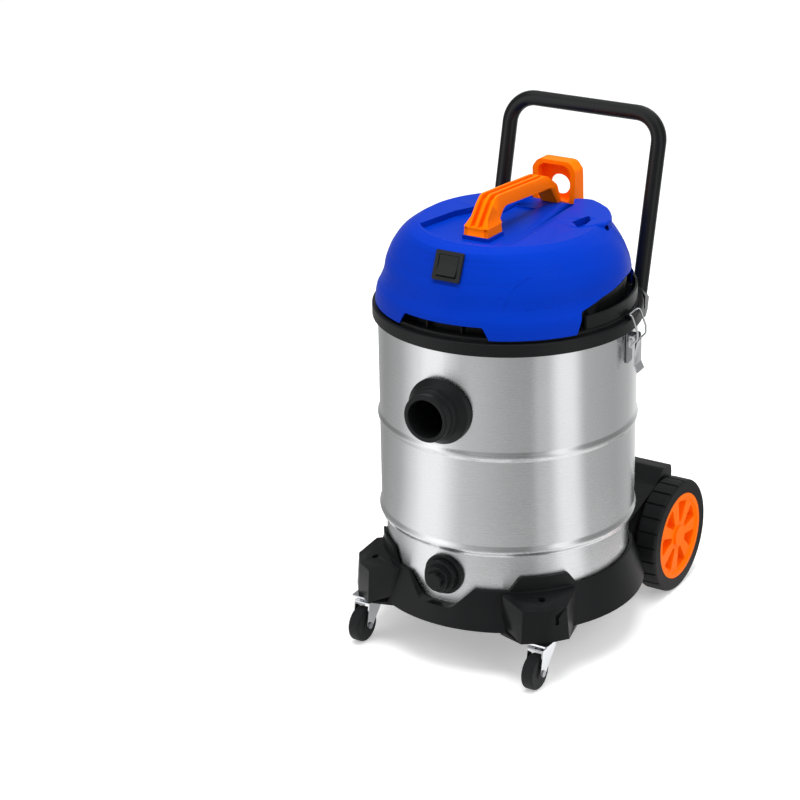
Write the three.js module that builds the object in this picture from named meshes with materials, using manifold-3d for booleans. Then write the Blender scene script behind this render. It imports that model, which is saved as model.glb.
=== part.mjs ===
// Shop vacuum: a steel drum in a wheeled base, with a lift-off motor head, a push handle and two latches.
// Millimetres, +Z up, front towards -Y. Round pieces are centred on the drum's axis.
// An angle named on the drum runs in degrees from the front towards +X.
import * as THREE from "three";
import { mergeVertices } from "three/addons/utils/BufferGeometryUtils.js";
import { ConvexGeometry } from "three/addons/geometries/ConvexGeometry.js";
import Module from "manifold-3d";

const wasm = await Module();
wasm.setup();

// Driving sizes shared by the whole machine
const fit = 0.3; // gap between pieces that touch
const overrun = 20; // how far a cutting tool runs past the face it opens
const drumSides = 32;
const midSides = 16;
const smallSides = 8;

// Steel drum
const tank = {
  radius: 180,
  wall: 1,
  footInset: 7,
  footCorner: 9,
  floorZ: 88,
  topZ: 484,
  beadHeight: 8,
  beadDepth: 1.5,
  midBeadZ: 326,
  lowBeadZ: 187,
};
const footRadius = tank.radius - tank.footInset;

// Plastic band on the drum's edge, with the sockets of the push handle
const rim = {
  thickness: 7.6,
  innerReach: 6,
  grip: 12.3,
  crest: 5.3,
  edgeRound: 1.5,
  earThickness: 5,
  earRise: 25.7,
  earStartShare: 0.185,
  earHighShare: 0.27,
  earBackShare: 0.93,
  earEndShare: 0.98,
};
const bandOuter = tank.radius + rim.thickness;
const bandInner = tank.radius - rim.innerReach;
const bandBottomZ = tank.topZ - rim.grip;
const bandTopZ = tank.topZ + rim.crest;
const earTopZ = bandTopZ + rim.earRise;

// Push handle, a bent tube that leans back
const push = {
  tubeRadius: 11,
  halfWidth: 120,
  barOut: 35.4,
  barRise: 222.7,
  lean: 0.237, // run back for each unit of rise, a slope
  bend: 38,
  bendSteps: 6,
  footDrop: 48.3,
  socketDrop: 11.3,
  socketWall: 4.2,
  socketFloor: 5,
  boltRadius: 3,
  boltDrop: 31.3,
  boltHead: 5.5,
  boltHeadHeight: 3,
  boltEnd: 2,
};
const barY = bandOuter + push.barOut;
const barZ = bandTopZ + push.barRise;
const legFootZ = bandTopZ - push.footDrop;
const socketTopZ = bandTopZ - push.socketDrop;
const boltZ = bandTopZ - push.boltDrop;

// Wheeled base
const base = {
  wall: 4,
  topZ: 126,
  bottomZ: 72,
  topProud: 6,
  bottomProud: 24,
  pocketGap: 1.5,
  floorThickness: 4,
  collarTopZ: 146,
  collarThickness: 4,
  collarHalfWidth: 52,
  collarTopHalfWidth: 34,
  notchHalfWidth: 54,
  notchBottomHalfWidth: 28,
  notchBottomZ: 95,
  notchRound: 8,
  shedZ: 170,
  ribThickness: 3,
  ribInner: 40,
  ribCount: 8,
};
const baseTopRadius = footRadius + base.topProud;
const baseRadius = footRadius + base.bottomProud;

// Front pods over the casters, in a frame of their own: out from the base's lower edge, across and up
const pod = {
  angle: 43.6,
  faceOut: 19,
  faceHalfWidth: 31,
  nose: 6,
  sideOut: -15,
  sideHalfWidth: 49,
  rootOut: -39,
  bottomZ: 66,
  faceTopZ: 114,
  sideTopZ: 124,
  draft: 3,
  holeRadius: 5,
  holeOut: -1,
  holeDepth: 8,
  slotWidth: 5,
  slotHeight: 14,
  slotDepth: 3,
  slotAcross: 14,
};

// Housing between the rear wheels
const rear = {
  halfWidth: 141,
  humpInner: 68,
  backOut: 53,
  backTopOut: 46,
  frontInset: 127,
  midInset: 7,
  topZ: 180,
  midZ: 162,
  lowZ: 127,
  bridgeZ: 150,
  cornerRound: 9,
  hollowGap: 6,
};
const housingBackY = baseRadius + rear.backOut;
const housingBackTopY = baseRadius + rear.backTopOut;
const housingMidY = baseRadius - rear.midInset;

// Rear wheels
const wheel = {
  out: 5.6,
  radius: 85,
  innerX: 144,
  outerX: 178,
  hubRadius: 65,
  shoulder: 4,
  sides: 24,
  grooveCount: 24,
  grooveDepth: 2.5,
  grooveShare: 0.16,
  pocketCount: 7,
  pocketInner: 21,
  pocketOuter: 53,
  pocketInnerHalf: 3.5,
  pocketOuterHalf: 14,
  pocketRound: 3,
  pocketDepth: 11,
  rimLip: 6,
  faceInset: 3,
  webThickness: 4,
  bossRadius: 15,
  axleRadius: 6,
  axleGap: 0.35,
  axleEnd: 10,
  spacerRadius: 13,
};
const axleY = baseRadius + wheel.out;

// Swivel casters
const caster = {
  insetX: 56,
  insetY: 45,
  trail: 19,
  wheelRadius: 25,
  wheelHalfWidth: 9,
  treadRound: 4,
  hubRadius: 9,
  hubProud: 1.5,
  axleRadius: 3,
  axleGap: 0.2,
  axleHead: 5,
  axleHeadHeight: 1.6,
  forkTopZ: 59,
  forkThickness: 2,
  forkHalfWidth: 13,
  forkRear: 19,
  forkFront: 17,
  forkTip: 7,
  raceRadius: 14,
  plateHalf: 18,
  plateThickness: 2.5,
  kingpinRadius: 5,
  kingpinTopZ: 92,
};
const casterX = baseRadius - caster.insetX;
const casterY = caster.insetY - baseRadius;

// Hose inlet on the drum's front, with its places measured out from the drum's wall
const inlet = {
  drop: 98,
  sides: 20,
  mouthOut: 39.5,
  boreRadius: 26.5,
  neckRadius: 30,
  neckEndOut: -18,
  flangeRadius: 46.5,
  flangeOut: 11,
  coneRadius: 38,
  coneOut: 17,
  collarRadius: 36,
  collarOut: 26,
  lipRadius: 33.5,
  lipRound: 2,
  holeGap: 1.2,
  nutRadius: 41,
  nutOut: -12,
  gasketRadius: 44,
  gasketThickness: 1.6,
  rootOut: -9,
};
const inletZ = tank.topZ - inlet.drop;

// Drain spout and its cap, with their places measured out from the drum's foot
const drain = {
  z: 141,
  boreRadius: 12,
  neckRadius: 15,
  neckEndOut: -13,
  spoutOut: 22,
  flangeRadius: 29,
  flangeOut: 7,
  sealThickness: 2,
  capGap: 0.6,
  capRadius: 24,
  capStepOut: 17,
  midRadius: 18.5,
  midStepOut: 25,
  tipRadius: 12.5,
  tipOut: 32,
  gripCount: 6,
  gripDepth: 1.6,
  rootOut: -9,
};

// Toggle latches, in a frame of their own: out, along the band and up from its lower edge
const latch = {
  angle: 95,
  plateThickness: 2,
  plateHalf: 10,
  plateBottomZ: -47.7,
  plateTopZ: -1.7,
  earInner: 6.4,
  earOuter: 8,
  earReach: 12.2,
  earBottomZ: -15.7,
  earTopZ: -5.9,
  pinReach: 8.5,
  pinZ: -9.7,
  pinRadius: 1.5,
  pinGap: 0.3,
  leverHalf: 12,
  leverWall: 1.6,
  leverReach: 13,
  leverTopZ: -15.7,
  leverBottomZ: -57.7,
  leverCurl: 5,
  leverCurlZ: -47.7,
  cheekReach: 5.5,
  cheekBottomZ: -22.7,
  cheekTopZ: -5.7,
  wireRadius: 1.4,
  wireBend: 2,
  wireHalf: 15,
  wireReach: 9.5,
  wireZ: -18.7,
  bulgeReach: 11.4,
  bulgeZ: 2.3,
  hookInset: 2.2,
  hookBend: 5,
  catchHalf: 11,
  catchInset: 0.2,
};
const pinOut = tank.radius + latch.pinReach;
const leverOut = tank.radius + latch.leverReach;
const wireOut = tank.radius + latch.wireReach;
const bulgeOut = bandOuter + latch.bulgeReach;
const hookOut = bandOuter - latch.hookInset;
const catchOut = bandOuter - latch.catchInset;

// Black lower part of the head: heights here and in the lists below it run from the band's top edge
const head = {
  flangeBottomZ: 3.6,
  flangeTopZ: 6,
  cupRadius: 80,
  wall: 3,
  cupBottomZ: -59.3,
  floorThickness: 4,
  intakeRadius: 40,
  panZ: -7.3,
  panGap: 3,
  panEdgeZ: 0.5,
  innerWallInset: 17,
  innerWallTopZ: 40.7,
  sideWallInset: 1.5,
  sideWallFrontZ: 24.7,
  sideWallBackZ: 36.7,
  sideWallFrontY: -74,
  sideWallBackY: 112,
  ribThickness: 2.4,
  ribInset: 9,
  ribTopZ: 18.7,
  ribAngle: 9,
  gasketInnerInset: 5,
  gasketOuterInset: 0.5,
  bossRadius: 6,
  bossOut: 92,
  bossTopZ: 2.7,
  bossCount: 3,
};
const flangeRadius = tank.radius;
const panRadius = bandInner - head.panGap;
const innerWallRadius = tank.radius - head.innerWallInset;
const sideWallRadius = tank.radius - head.sideWallInset;
const gasketInner = tank.radius - head.gasketInnerInset;
const gasketOuter = tank.radius - head.gasketOuterInset;
const catchTopZ = head.flangeTopZ - fit;

// Blue lid of the head: its outer line runs from the skirt up to the crown
const lid = {
  wall: 3,
  skirtProud: 3.9,
  skirtZ: 4,
  hemProud: 1,
  hemZ: 21.7,
  waistInset: 7,
  waistZ: 45.7,
  bellyInset: 16,
  bellyZ: 70.7,
  browInset: 22.5,
  browZ: 87.7,
  shoulderInset: 30.5,
  shoulderZ: 106.7,
  edgeInset: 34.5,
  edgeZ: 112.2,
  crownInset: 40,
  crownZ: 115.2,
  ceilingZ: 103.2,
  trayZ: 107,
  trayRim: 12,
  trayRightX: 66,
  trayLeftX: -91,
  trayMidX: -80,
  trayMidY: -9,
  trayBackLeftX: -45,
  trayBackLeftY: 70,
  trayBackX: -36,
  frontCutHalf: 74,
  frontCutTopHalf: 60,
  frontCutZ: 20.7,
  sideCutFrontY: -95,
  sideCutStepY: -79,
  sideCutStepZ: 31.7,
  sideCutMidY: -38,
  sideCutMidZ: 41.7,
  sideCutHighY: 30,
  sideCutHighZ: 50.7,
  sideCutBackY: 112,
  sideCutBackZ: 46.7,
  sideCutEndY: 132,
  sideCutInset: 84,
  cutRound: 5,
  shoulderFrontX: 98,
  shoulderFrontY: -76,
  shoulderLineX: 108,
  shoulderTurnY: 12,
  shoulderEndX: 131,
  shoulderEndY: 60,
  shoulderSlope: 0.21, // fall for each unit of run, a slope
  pocketDepth: 5,
  pocketFrontInX: 85,
  pocketFrontInY: 27,
  pocketBackInX: 91,
  pocketBackInY: 64,
  pocketBackOutX: 103,
  pocketBackOutY: 45,
  pocketFrontOutX: 106,
  pocketFrontOutY: 5,
  slotX: -18,
  slotY: 46,
  slotHalfX: 17,
  slotHalfY: 34,
  slotDepth: 3.2,
  seatHalfWidth: 31,
  seatInset: 22,
  seatReach: 20,
  seatRound: 8,
  seatDrop: 22,
  seatFlare: 9,
  ventX: 127,
  ventY: 45,
  ventRadius: 4,
  ventDepth: 10,
};
const skirtRadius = tank.radius + lid.skirtProud;
const hemRadius = tank.radius + lid.hemProud;
const waistRadius = tank.radius - lid.waistInset;
const bellyRadius = tank.radius - lid.bellyInset;
const browRadius = tank.radius - lid.browInset;
const shoulderRadius = tank.radius - lid.shoulderInset;
const edgeRadius = tank.radius - lid.edgeInset;
const crownRadius = tank.radius - lid.crownInset;
const trayRadius = crownRadius - lid.trayRim;

// Carrying handle on the lid, with its heights over the tray and its places in from the crown's edge
const carry = {
  halfWidth: 13,
  footHalfWidth: 18.5,
  footFront: 54,
  footBack: 92,
  footHeight: 12,
  legTop: 77,
  legTopZ: 44,
  knee: 89,
  gripTopZ: 54,
  gripBackTopZ: 47,
  gripBack: 54,
  back: 28,
  backZ: 28,
  end: 21,
  underFront: 108,
  underFrontZ: 35.5,
  underBack: 47,
  underBackZ: 27.5,
  innerLeg: 94,
  innerBack: 32,
  bendRound: 16,
  footRound: 4,
  grooveInner: 2.2,
  grooveOuter: 9.2,
  grooveDepth: 7,
};

// Cable hook behind the carrying handle, with its places measured out from the crown's edge
const hook = {
  front: -12,
  back: 17,
  backTop: 13,
  footHalfWidth: 24.5,
  halfWidth: 33,
  topHalfWidth: 25,
  hipZ: 34,
  shoulderZ: 51,
  topZ: 61,
  side: 8,
  top: 5.5,
  foot: 3,
  web: 8,
  webThickness: 4,
  cornerRound: 7,
  eyeHalfWidth: 15.5,
  eyeHalfHeight: 14.5,
  eyeZ: 18,
};

// Rocker switch on the lid's front, in a frame that leans back with the lid
const rocker = {
  tilt: 22,
  inset: 1,
  z: 91.2,
  recessHalfX: 24,
  recessHalfY: 23,
  recessDepth: 2,
  recessRound: 4,
  bezelHalfX: 21,
  bezelHalfY: 20,
  bezelProud: 2.2,
  bezelRound: 2.5,
  bodyHalfX: 17,
  bodyHalfY: 16,
  bodyDepth: 16,
  wellHalfX: 15.2,
  wellHalfY: 14.6,
  wellDepth: 9,
  gap: 0.7,
  buttonBottom: 5,
  buttonProud: 1.4,
  buttonCrown: 2.2,
  pivotDepth: 2,
  swing: 7,
};

// Suction motor, its fan and its seats, with heights over the fan's floor
const motor = {
  fanRadius: 70,
  fanWall: 2,
  fanHeight: 43,
  coilRadius: 46,
  coilTopZ: 119,
  capRadius: 22,
  capTopZ: 135,
  intakeRadius: 26,
  windowHalf: 16,
  windowBottomZ: 10,
  windowTopZ: 31,
  windowCount: 6,
  shaftRadius: 4,
  shaftGap: 0.4,
  shaftTopZ: 140,
  shaftBottomZ: 4,
  bladeDiscZ: 29,
  bladeDiscThickness: 2,
  bladeRadius: 60,
  bladeInner: 24,
  bladeHeight: 14,
  bladeThickness: 2,
  bladeCount: 6,
  bladeSweep: 38,
  hubRadius: 9,
  sealThickness: 2.4,
  sealInner: 44,
  sealOuter: 66,
  clampThickness: 3,
  clampInner: 49,
  clampEarHalf: 8,
  upperSealInner: 50,
};
const motorSeatZ = head.cupBottomZ + head.floorThickness;
const fanFloorZ = motorSeatZ + motor.sealThickness + 2 * fit;

// Float cage, its ball and the filter round them, measured down from the head's cup
const screen = {
  cageRadius: 50,
  cageWall: 2.5,
  cageDepth: 98,
  cageLip: 6,
  seatRadius: 17,
  windowCount: 6,
  windowHalf: 17,
  windowLowDepth: 84,
  windowHighDepth: 12,
  ballRadius: 21,
  filterTopRadius: 86,
  filterBottomRadius: 68,
  filterDepth: 138,
  filterWall: 3,
  pleatCount: 20,
  pleatDepth: 2,
  ringOuter: 90,
  ringDepth: 6,
  ringRise: 10,
  ringLip: 75,
};

// Inlet for the mains cord on the lid's back
const gland = {
  z: 66.7,
  radius: 9,
  boreRadius: 4,
  flangeRadius: 13,
  flangeThickness: 2.5,
  length: 12,
};

// Finishes
const finish = {
  steel: { color: 0xc9cbcc, roughness: 0.28, metalness: 1 },
  black: { color: 0x1f2022, roughness: 0.5, metalness: 0 },
  tube: { color: 0x17181a, roughness: 0.32, metalness: 0.1 },
  blue: { color: 0x0b44d6, roughness: 0.42, metalness: 0 },
  orange: { color: 0xff7a0a, roughness: 0.45, metalness: 0 },
  rubber: { color: 0x17181a, roughness: 0.8, metalness: 0 },
  chrome: { color: 0xd6d8da, roughness: 0.12, metalness: 1 },
  zinc: { color: 0xa9abad, roughness: 0.35, metalness: 1 },
  switchBlack: { color: 0x2a2b2b, roughness: 0.45, metalness: 0 },
  filterWhite: { color: 0xefefec, roughness: 0.9, metalness: 0 },
  copper: { color: 0x8d5b3a, roughness: 0.5, metalness: 0.6 },
  ball: { color: 0xe8e4d8, roughness: 0.5, metalness: 0 },
};

// Helpers for solids
const radians = THREE.MathUtils.degToRad;

// Six times the signed volume of a triangle mesh.
function signedVolume(positions, index) {
  const a = new THREE.Vector3();
  const b = new THREE.Vector3();
  const c = new THREE.Vector3();
  let sum = 0;
  for (let i = 0; i < index.length; i += 3) {
    a.fromArray(positions, index[i] * 3);
    b.fromArray(positions, index[i + 1] * 3);
    c.fromArray(positions, index[i + 2] * 3);
    sum += a.dot(b.cross(c));
  }
  return sum;
}

// A geometry as a solid, with its faces turned outwards.
function solidOf(geometry) {
  const bare = geometry.clone();
  bare.deleteAttribute("normal");
  bare.deleteAttribute("uv");
  const merged = mergeVertices(bare, 1e-4);
  const vertProperties = new Float32Array(merged.attributes.position.array);
  const triVerts = new Uint32Array(merged.index.array);
  if (signedVolume(vertProperties, triVerts) < 0) {
    triVerts.reverse();
  }
  return new wasm.Manifold(new wasm.Mesh({ numProp: 3, vertProperties, triVerts }));
}

// A solid as a geometry.
function geometryOf(solid) {
  const mesh = solid.getMesh();
  const geometry = new THREE.BufferGeometry();
  geometry.setAttribute("position", new THREE.BufferAttribute(new Float32Array(mesh.vertProperties), 3));
  geometry.setIndex(new THREE.BufferAttribute(new Uint32Array(mesh.triVerts), 1));
  geometry.computeVertexNormals();
  return geometry;
}

// The first shape joined with the others.
function join(first, ...others) {
  return geometryOf(others.reduce((sum, shape) => sum.add(solidOf(shape)), solidOf(first)));
}

// The first shape without the others.
function cut(first, ...others) {
  return geometryOf(others.reduce((rest, shape) => rest.subtract(solidOf(shape)), solidOf(first)));
}

// What two shapes share.
function shared(first, second) {
  return geometryOf(solidOf(first).intersect(solidOf(second)));
}

// A shape turned about the upright axis by an angle in degrees.
function turned(geometry, degrees) {
  return geometry.clone().rotateZ(radians(degrees));
}

// A shape mirrored from side to side.
function mirrored(geometry) {
  return geometryOf(solidOf(geometry.clone().scale(-1, 1, 1)));
}

// A round solid about the upright axis, from a profile of [radius, height] points.
function lathe(profile, sides = drumSides) {
  const points = profile.map(([r, z]) => new THREE.Vector2(r, z));
  if (profile[0][0] !== 0) {
    points.push(points[0].clone());
  }
  return new THREE.LatheGeometry(points, sides).rotateX(Math.PI / 2);
}

// A round solid about an axis to the front, from a profile of [radius, distance out from a wall].
function frontLathe(profile, wallY, z, sides = midSides) {
  return lathe(profile, sides).rotateX(Math.PI / 2).translate(0, -wallY, z);
}

// A round solid about an axis that runs to the right, from a profile of [radius, x] points.
function sideLathe(profile, y, z, sides = midSides) {
  return lathe(profile, sides).rotateY(Math.PI / 2).translate(0, y, z);
}

// A flat outline from [a, b] points.
function outline(points) {
  return new THREE.Shape(points.map(([a, b]) => new THREE.Vector2(a, b)));
}

// An outline's solid between two heights.
function slabZ(points, low, high) {
  const options = { depth: high - low, bevelEnabled: false, steps: 1 };
  return new THREE.ExtrudeGeometry(outline(points), options).translate(0, 0, low);
}

// An outline of [y, z] points made solid between two places on the X axis.
function slabX(points, low, high) {
  const frame = new THREE.Matrix4().makeBasis(
    new THREE.Vector3(0, 1, 0),
    new THREE.Vector3(0, 0, 1),
    new THREE.Vector3(1, 0, 0),
  );
  return slabZ(points, low, high).applyMatrix4(frame);
}

// An outline of [x, z] points made solid between two places on the Y axis.
function slabY(points, low, high) {
  const frame = new THREE.Matrix4().makeBasis(
    new THREE.Vector3(1, 0, 0),
    new THREE.Vector3(0, 0, 1),
    new THREE.Vector3(0, 1, 0),
  );
  return slabZ(points, low, high).applyMatrix4(frame);
}

// A block between two corners.
function block(x0, x1, y0, y1, z0, z1) {
  const box = new THREE.BoxGeometry(x1 - x0, y1 - y0, z1 - z0);
  return box.translate((x0 + x1) / 2, (y0 + y1) / 2, (z0 + z1) / 2);
}

// A round bar between two points.
function bar(from, to, radius, sides = smallSides) {
  const start = new THREE.Vector3(...from);
  const run = new THREE.Vector3(...to).sub(start);
  const turn = new THREE.Quaternion().setFromUnitVectors(
    new THREE.Vector3(0, 1, 0),
    run.clone().normalize(),
  );
  const middle = start.clone().addScaledVector(run, 0.5);
  const rod = new THREE.CylinderGeometry(radius, radius, run.length(), sides);
  return rod.applyQuaternion(turn).translate(middle.x, middle.y, middle.z);
}

// The smallest convex solid round some points.
function hull(points) {
  return new ConvexGeometry(points.map((point) => new THREE.Vector3(...point)));
}

// Points on a circle in a level plane.
function circle(x, y, z, radius, sides) {
  return Array.from({ length: sides }, (_, i) => {
    const turn = (i / sides) * Math.PI * 2;
    return [x + radius * Math.cos(turn), y + radius * Math.sin(turn), z];
  });
}

// An outline with its corners rounded: each point is [a, b] or [a, b, radius].
function rounded(points, radius, steps = 2) {
  const out = [];
  points.forEach(([a, b, own], i) => {
    const at = new THREE.Vector2(a, b);
    const before = new THREE.Vector2(...points[(i + points.length - 1) % points.length].slice(0, 2));
    const after = new THREE.Vector2(...points[(i + 1) % points.length].slice(0, 2));
    const back = before.sub(at);
    const ahead = after.sub(at);
    const half = back.angleTo(ahead) / 2;
    const wanted = (own ?? radius) / Math.tan(half);
    const reach = Math.min(wanted, back.length() / 2, ahead.length() / 2);
    if (reach <= 0) {
      out.push([a, b]);
      return;
    }
    const start = at.clone().addScaledVector(back.normalize(), reach);
    const end = at.clone().addScaledVector(ahead.normalize(), reach);
    const curve = new THREE.QuadraticBezierCurve(start, at, end);
    curve.getPoints(steps).forEach((p) => out.push([p.x, p.y]));
  });
  return out;
}

// A path that runs straight from station to station, with one section of a tube at each.
class StationPath extends THREE.Curve {
  constructor(stations) {
    super();
    this.stations = stations;
  }

  getPoint(t, target = new THREE.Vector3()) {
    const last = this.stations.length - 1;
    const place = t * last;
    const i = Math.min(Math.floor(place), last - 1);
    return target.lerpVectors(this.stations[i], this.stations[i + 1], place - i);
  }

  getPointAt(u, target) {
    return this.getPoint(u, target);
  }

  getTangentAt(u, target = new THREE.Vector3()) {
    const last = this.stations.length - 1;
    const i = Math.round(u * last);
    const before = this.stations[Math.max(i - 1, 0)];
    const after = this.stations[Math.min(i + 1, last)];
    return target.subVectors(after, before).normalize();
  }
}

// A path through corners, each bent to a radius in a few steps.
function bentPath(corners, radius, bendSteps) {
  const points = corners.map((corner) => new THREE.Vector3(...corner));
  const stations = [points[0]];
  for (let i = 1; i < points.length - 1; i += 1) {
    const back = points[i - 1].clone().sub(points[i]).normalize();
    const ahead = points[i + 1].clone().sub(points[i]).normalize();
    const turn = Math.PI - back.angleTo(ahead);
    const reach = radius * Math.tan(turn / 2);
    const pull = (4 / 3) * Math.tan(turn / 4) * radius;
    const start = points[i].clone().addScaledVector(back, reach);
    const end = points[i].clone().addScaledVector(ahead, reach);
    const leave = start.clone().addScaledVector(back, -pull);
    const arrive = end.clone().addScaledVector(ahead, -pull);
    stations.push(...new THREE.CubicBezierCurve3(start, leave, arrive, end).getPoints(bendSteps));
  }
  stations.push(points.at(-1));
  return new StationPath(stations);
}

// A round bar along a path, with a section at each of its stations.
function tube(path, radius, sides) {
  const ring = circle(0, 0, 0, radius, sides).map(([a, b]) => [a, b]);
  const options = { steps: path.stations.length - 1, bevelEnabled: false, extrudePath: path };
  return new THREE.ExtrudeGeometry(outline(ring), options);
}

// The drum's own outside, as a tool that cuts what leans on it.
function drumTool(gap) {
  const r = tank.radius + gap;
  return lathe([
    [0, 0],
    [r, 0],
    [r, barZ],
    [0, barZ],
  ]);
}

// The machine, with one mesh for each piece
const machine = new THREE.Group();

// Adds a piece to the machine or to one of its groups.
function add(name, geometry, look, parent = machine) {
  const mesh = new THREE.Mesh(geometry, new THREE.MeshStandardMaterial(look));
  mesh.name = name;
  parent.add(mesh);
}

// Adds a piece of the right side and its mirror image on the left.
function addPair(name, geometry, look, parent = machine) {
  add(name + "_right", geometry, look, parent);
  add(name + "_left", mirrored(geometry), look, parent);
}

// A group at a height in another group.
function groupAt(z, parent) {
  const group = new THREE.Group();
  group.position.z = z;
  parent.add(group);
  return group;
}

// The latches' frame at the band's lower edge, and the head's at its top edge with those of its parts in it
const latchFrame = groupAt(bandBottomZ, machine);
const upper = groupAt(bandTopZ, machine);
const handleFrame = groupAt(lid.trayZ + fit, upper);
const motorFrame = groupAt(fanFloorZ, upper);
const screenFrame = groupAt(head.cupBottomZ, upper);

// Drum

// The drum is drawn from one sheet: a foot that fits the base, a step, two beads and an open top.
function makeTank() {
  const { radius, wall, beadDepth } = tank;
  const rise = tank.beadHeight / 2;
  const corner = footRadius - tank.footCorner;
  const stepZ = tank.lowBeadZ - tank.beadHeight * 1.4;
  const shell = lathe([
    [0, tank.floorZ],
    [corner, tank.floorZ],
    [footRadius, tank.floorZ + tank.footCorner],
    [footRadius, stepZ],
    [radius - beadDepth, tank.lowBeadZ - rise],
    [radius + beadDepth, tank.lowBeadZ],
    [radius, tank.lowBeadZ + rise],
    [radius, tank.midBeadZ - rise],
    [radius + beadDepth, tank.midBeadZ],
    [radius, tank.midBeadZ + rise],
    [radius, tank.topZ],
    [radius - wall, tank.topZ],
    [radius - wall, tank.lowBeadZ],
    [radius - beadDepth - wall, tank.lowBeadZ - rise],
    [footRadius - wall, stepZ],
    [footRadius - wall, tank.floorZ + tank.footCorner + wall / 2],
    [corner, tank.floorZ + wall],
    [0, tank.floorZ + wall],
  ]);
  const inletHole = bar(
    [0, -tank.radius - overrun, inletZ],
    [0, 0, inletZ],
    inlet.neckRadius + inlet.holeGap,
    midSides,
  );
  const drainHole = bar(
    [0, -tank.radius - overrun, drain.z],
    [0, 0, drain.z],
    drain.neckRadius + inlet.holeGap,
    midSides,
  );
  return cut(shell, inletHole, drainHole);
}

add("tank_drum", makeTank(), finish.steel);

// Push handle and the band that holds it

// Where a leg's centre lies at a height.
function legY(z) {
  return barY - push.lean * (barZ - z);
}

function makePushHandle() {
  const corners = [
    [-push.halfWidth, legY(legFootZ), legFootZ],
    [-push.halfWidth, barY, barZ],
    [push.halfWidth, barY, barZ],
    [push.halfWidth, legY(legFootZ), legFootZ],
  ];
  const frame = tube(bentPath(corners, push.bend, push.bendSteps), push.tubeRadius, smallSides);
  return [-1, 1].reduce((handle, side) => cut(handle, boltHole(side)), frame);
}

// The hole for the bolt that holds a leg in its socket.
function boltHole(side) {
  const x = side * push.halfWidth;
  const y = legY(boltZ);
  const reach = push.tubeRadius + overrun;
  return bar([x, y - reach, boltZ], [x, y + reach, boltZ], push.boltRadius + fit);
}

// One ear of the band: a fairing from the raised wall down round the handle's foot.
function makeEar() {
  const floorZ = legFootZ - push.socketFloor;
  const mouth = push.tubeRadius + push.socketWall;
  const low = circle(push.halfWidth, legY(floorZ), floorZ, mouth, smallSides);
  const high = circle(push.halfWidth, legY(socketTopZ), socketTopZ, mouth, smallSides);
  const wallRadius = bandOuter + rim.earThickness / 2;
  const along = [122, 134, 146, 158];
  const wall = along.flatMap((degrees) => {
    const x = wallRadius * Math.sin(radians(degrees));
    const y = -wallRadius * Math.cos(radians(degrees));
    const top = degrees === along[0] || degrees === along.at(-1) ? bandTopZ : earTopZ;
    return [
      [x, y, bandBottomZ],
      [x, y, top],
    ];
  });
  return hull([...low, ...high, ...wall]);
}

// The raised wall of the band beside the sockets, from one height to another along Y.
function makeEarWall() {
  const inner = bandOuter + fit - rim.earThickness / 2;
  const outer = inner + rim.earThickness;
  const ring = lathe([
    [inner, bandTopZ - rim.edgeRound * 2],
    [outer, bandTopZ - rim.edgeRound * 2],
    [outer, earTopZ],
    [inner, earTopZ],
  ]);
  const startY = bandOuter * rim.earStartShare;
  const highY = bandOuter * rim.earHighShare;
  const backY = bandOuter * rim.earBackShare;
  const endY = bandOuter * rim.earEndShare;
  const window = slabX(
    rounded(
      [
        [startY, bandTopZ],
        [startY, bandBottomZ],
        [endY, bandBottomZ],
        [endY, bandTopZ],
        [backY, earTopZ + overrun],
        [highY, earTopZ + overrun],
        [highY, earTopZ],
      ],
      0,
    ),
    0,
    bandOuter + overrun,
  );
  return shared(ring, window);
}

function makeRim() {
  const lip = tank.radius + fit;
  const inLip = tank.radius - tank.wall - fit;
  const band = lathe([
    [lip, bandBottomZ],
    [bandOuter, bandBottomZ],
    [bandOuter, bandTopZ - rim.edgeRound],
    [bandOuter - rim.edgeRound, bandTopZ],
    [bandInner, bandTopZ],
    [bandInner, bandBottomZ],
    [inLip, bandBottomZ],
    [inLip, tank.topZ + fit],
    [lip, tank.topZ + fit],
  ]);
  const inside = bandOuter + fit - rim.earThickness / 2;
  const clearRoom = lathe([
    [0, 0],
    [inside, 0],
    [inside, earTopZ + overrun],
    [0, earTopZ + overrun],
  ]);
  const ear = cut(makeEar(), clearRoom);
  const wall = makeEarWall();
  const whole = join(band, ear, wall, mirrored(ear), mirrored(wall));
  const footZ = legFootZ - fit;
  const aboveZ = earTopZ + overrun;
  const sockets = [-1, 1].flatMap((side) => [
    bar(
      [side * push.halfWidth, legY(footZ), footZ],
      [side * push.halfWidth, legY(aboveZ), aboveZ],
      push.tubeRadius + 1.2 * fit,
      midSides,
    ),
    boltHole(side),
  ]);
  return cut(whole, ...sockets);
}

// A bolt from behind through the socket and the leg.
function makeBolt() {
  const y = legY(boltZ);
  const outside = legY(boltZ + push.boltHead) + push.tubeRadius + push.socketWall + fit;
  const inside = y - push.tubeRadius - push.boltEnd;
  const shank = bar(
    [push.halfWidth, inside, boltZ],
    [push.halfWidth, outside + fit, boltZ],
    push.boltRadius,
  );
  const headBar = bar(
    [push.halfWidth, outside, boltZ],
    [push.halfWidth, outside + push.boltHeadHeight, boltZ],
    push.boltHead,
    6,
  );
  return join(shank, headBar);
}

add("rim_ring", makeRim(), finish.black);
add("push_handle", makePushHandle(), finish.tube);
addPair("handle_bolt", makeBolt(), finish.zinc);

// Base

// The skirt's outer radius at a height.
function flareRadius(z) {
  const share = (z - base.bottomZ) / (base.topZ - base.bottomZ);
  return baseRadius + (baseTopRadius - baseRadius) * share;
}

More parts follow.
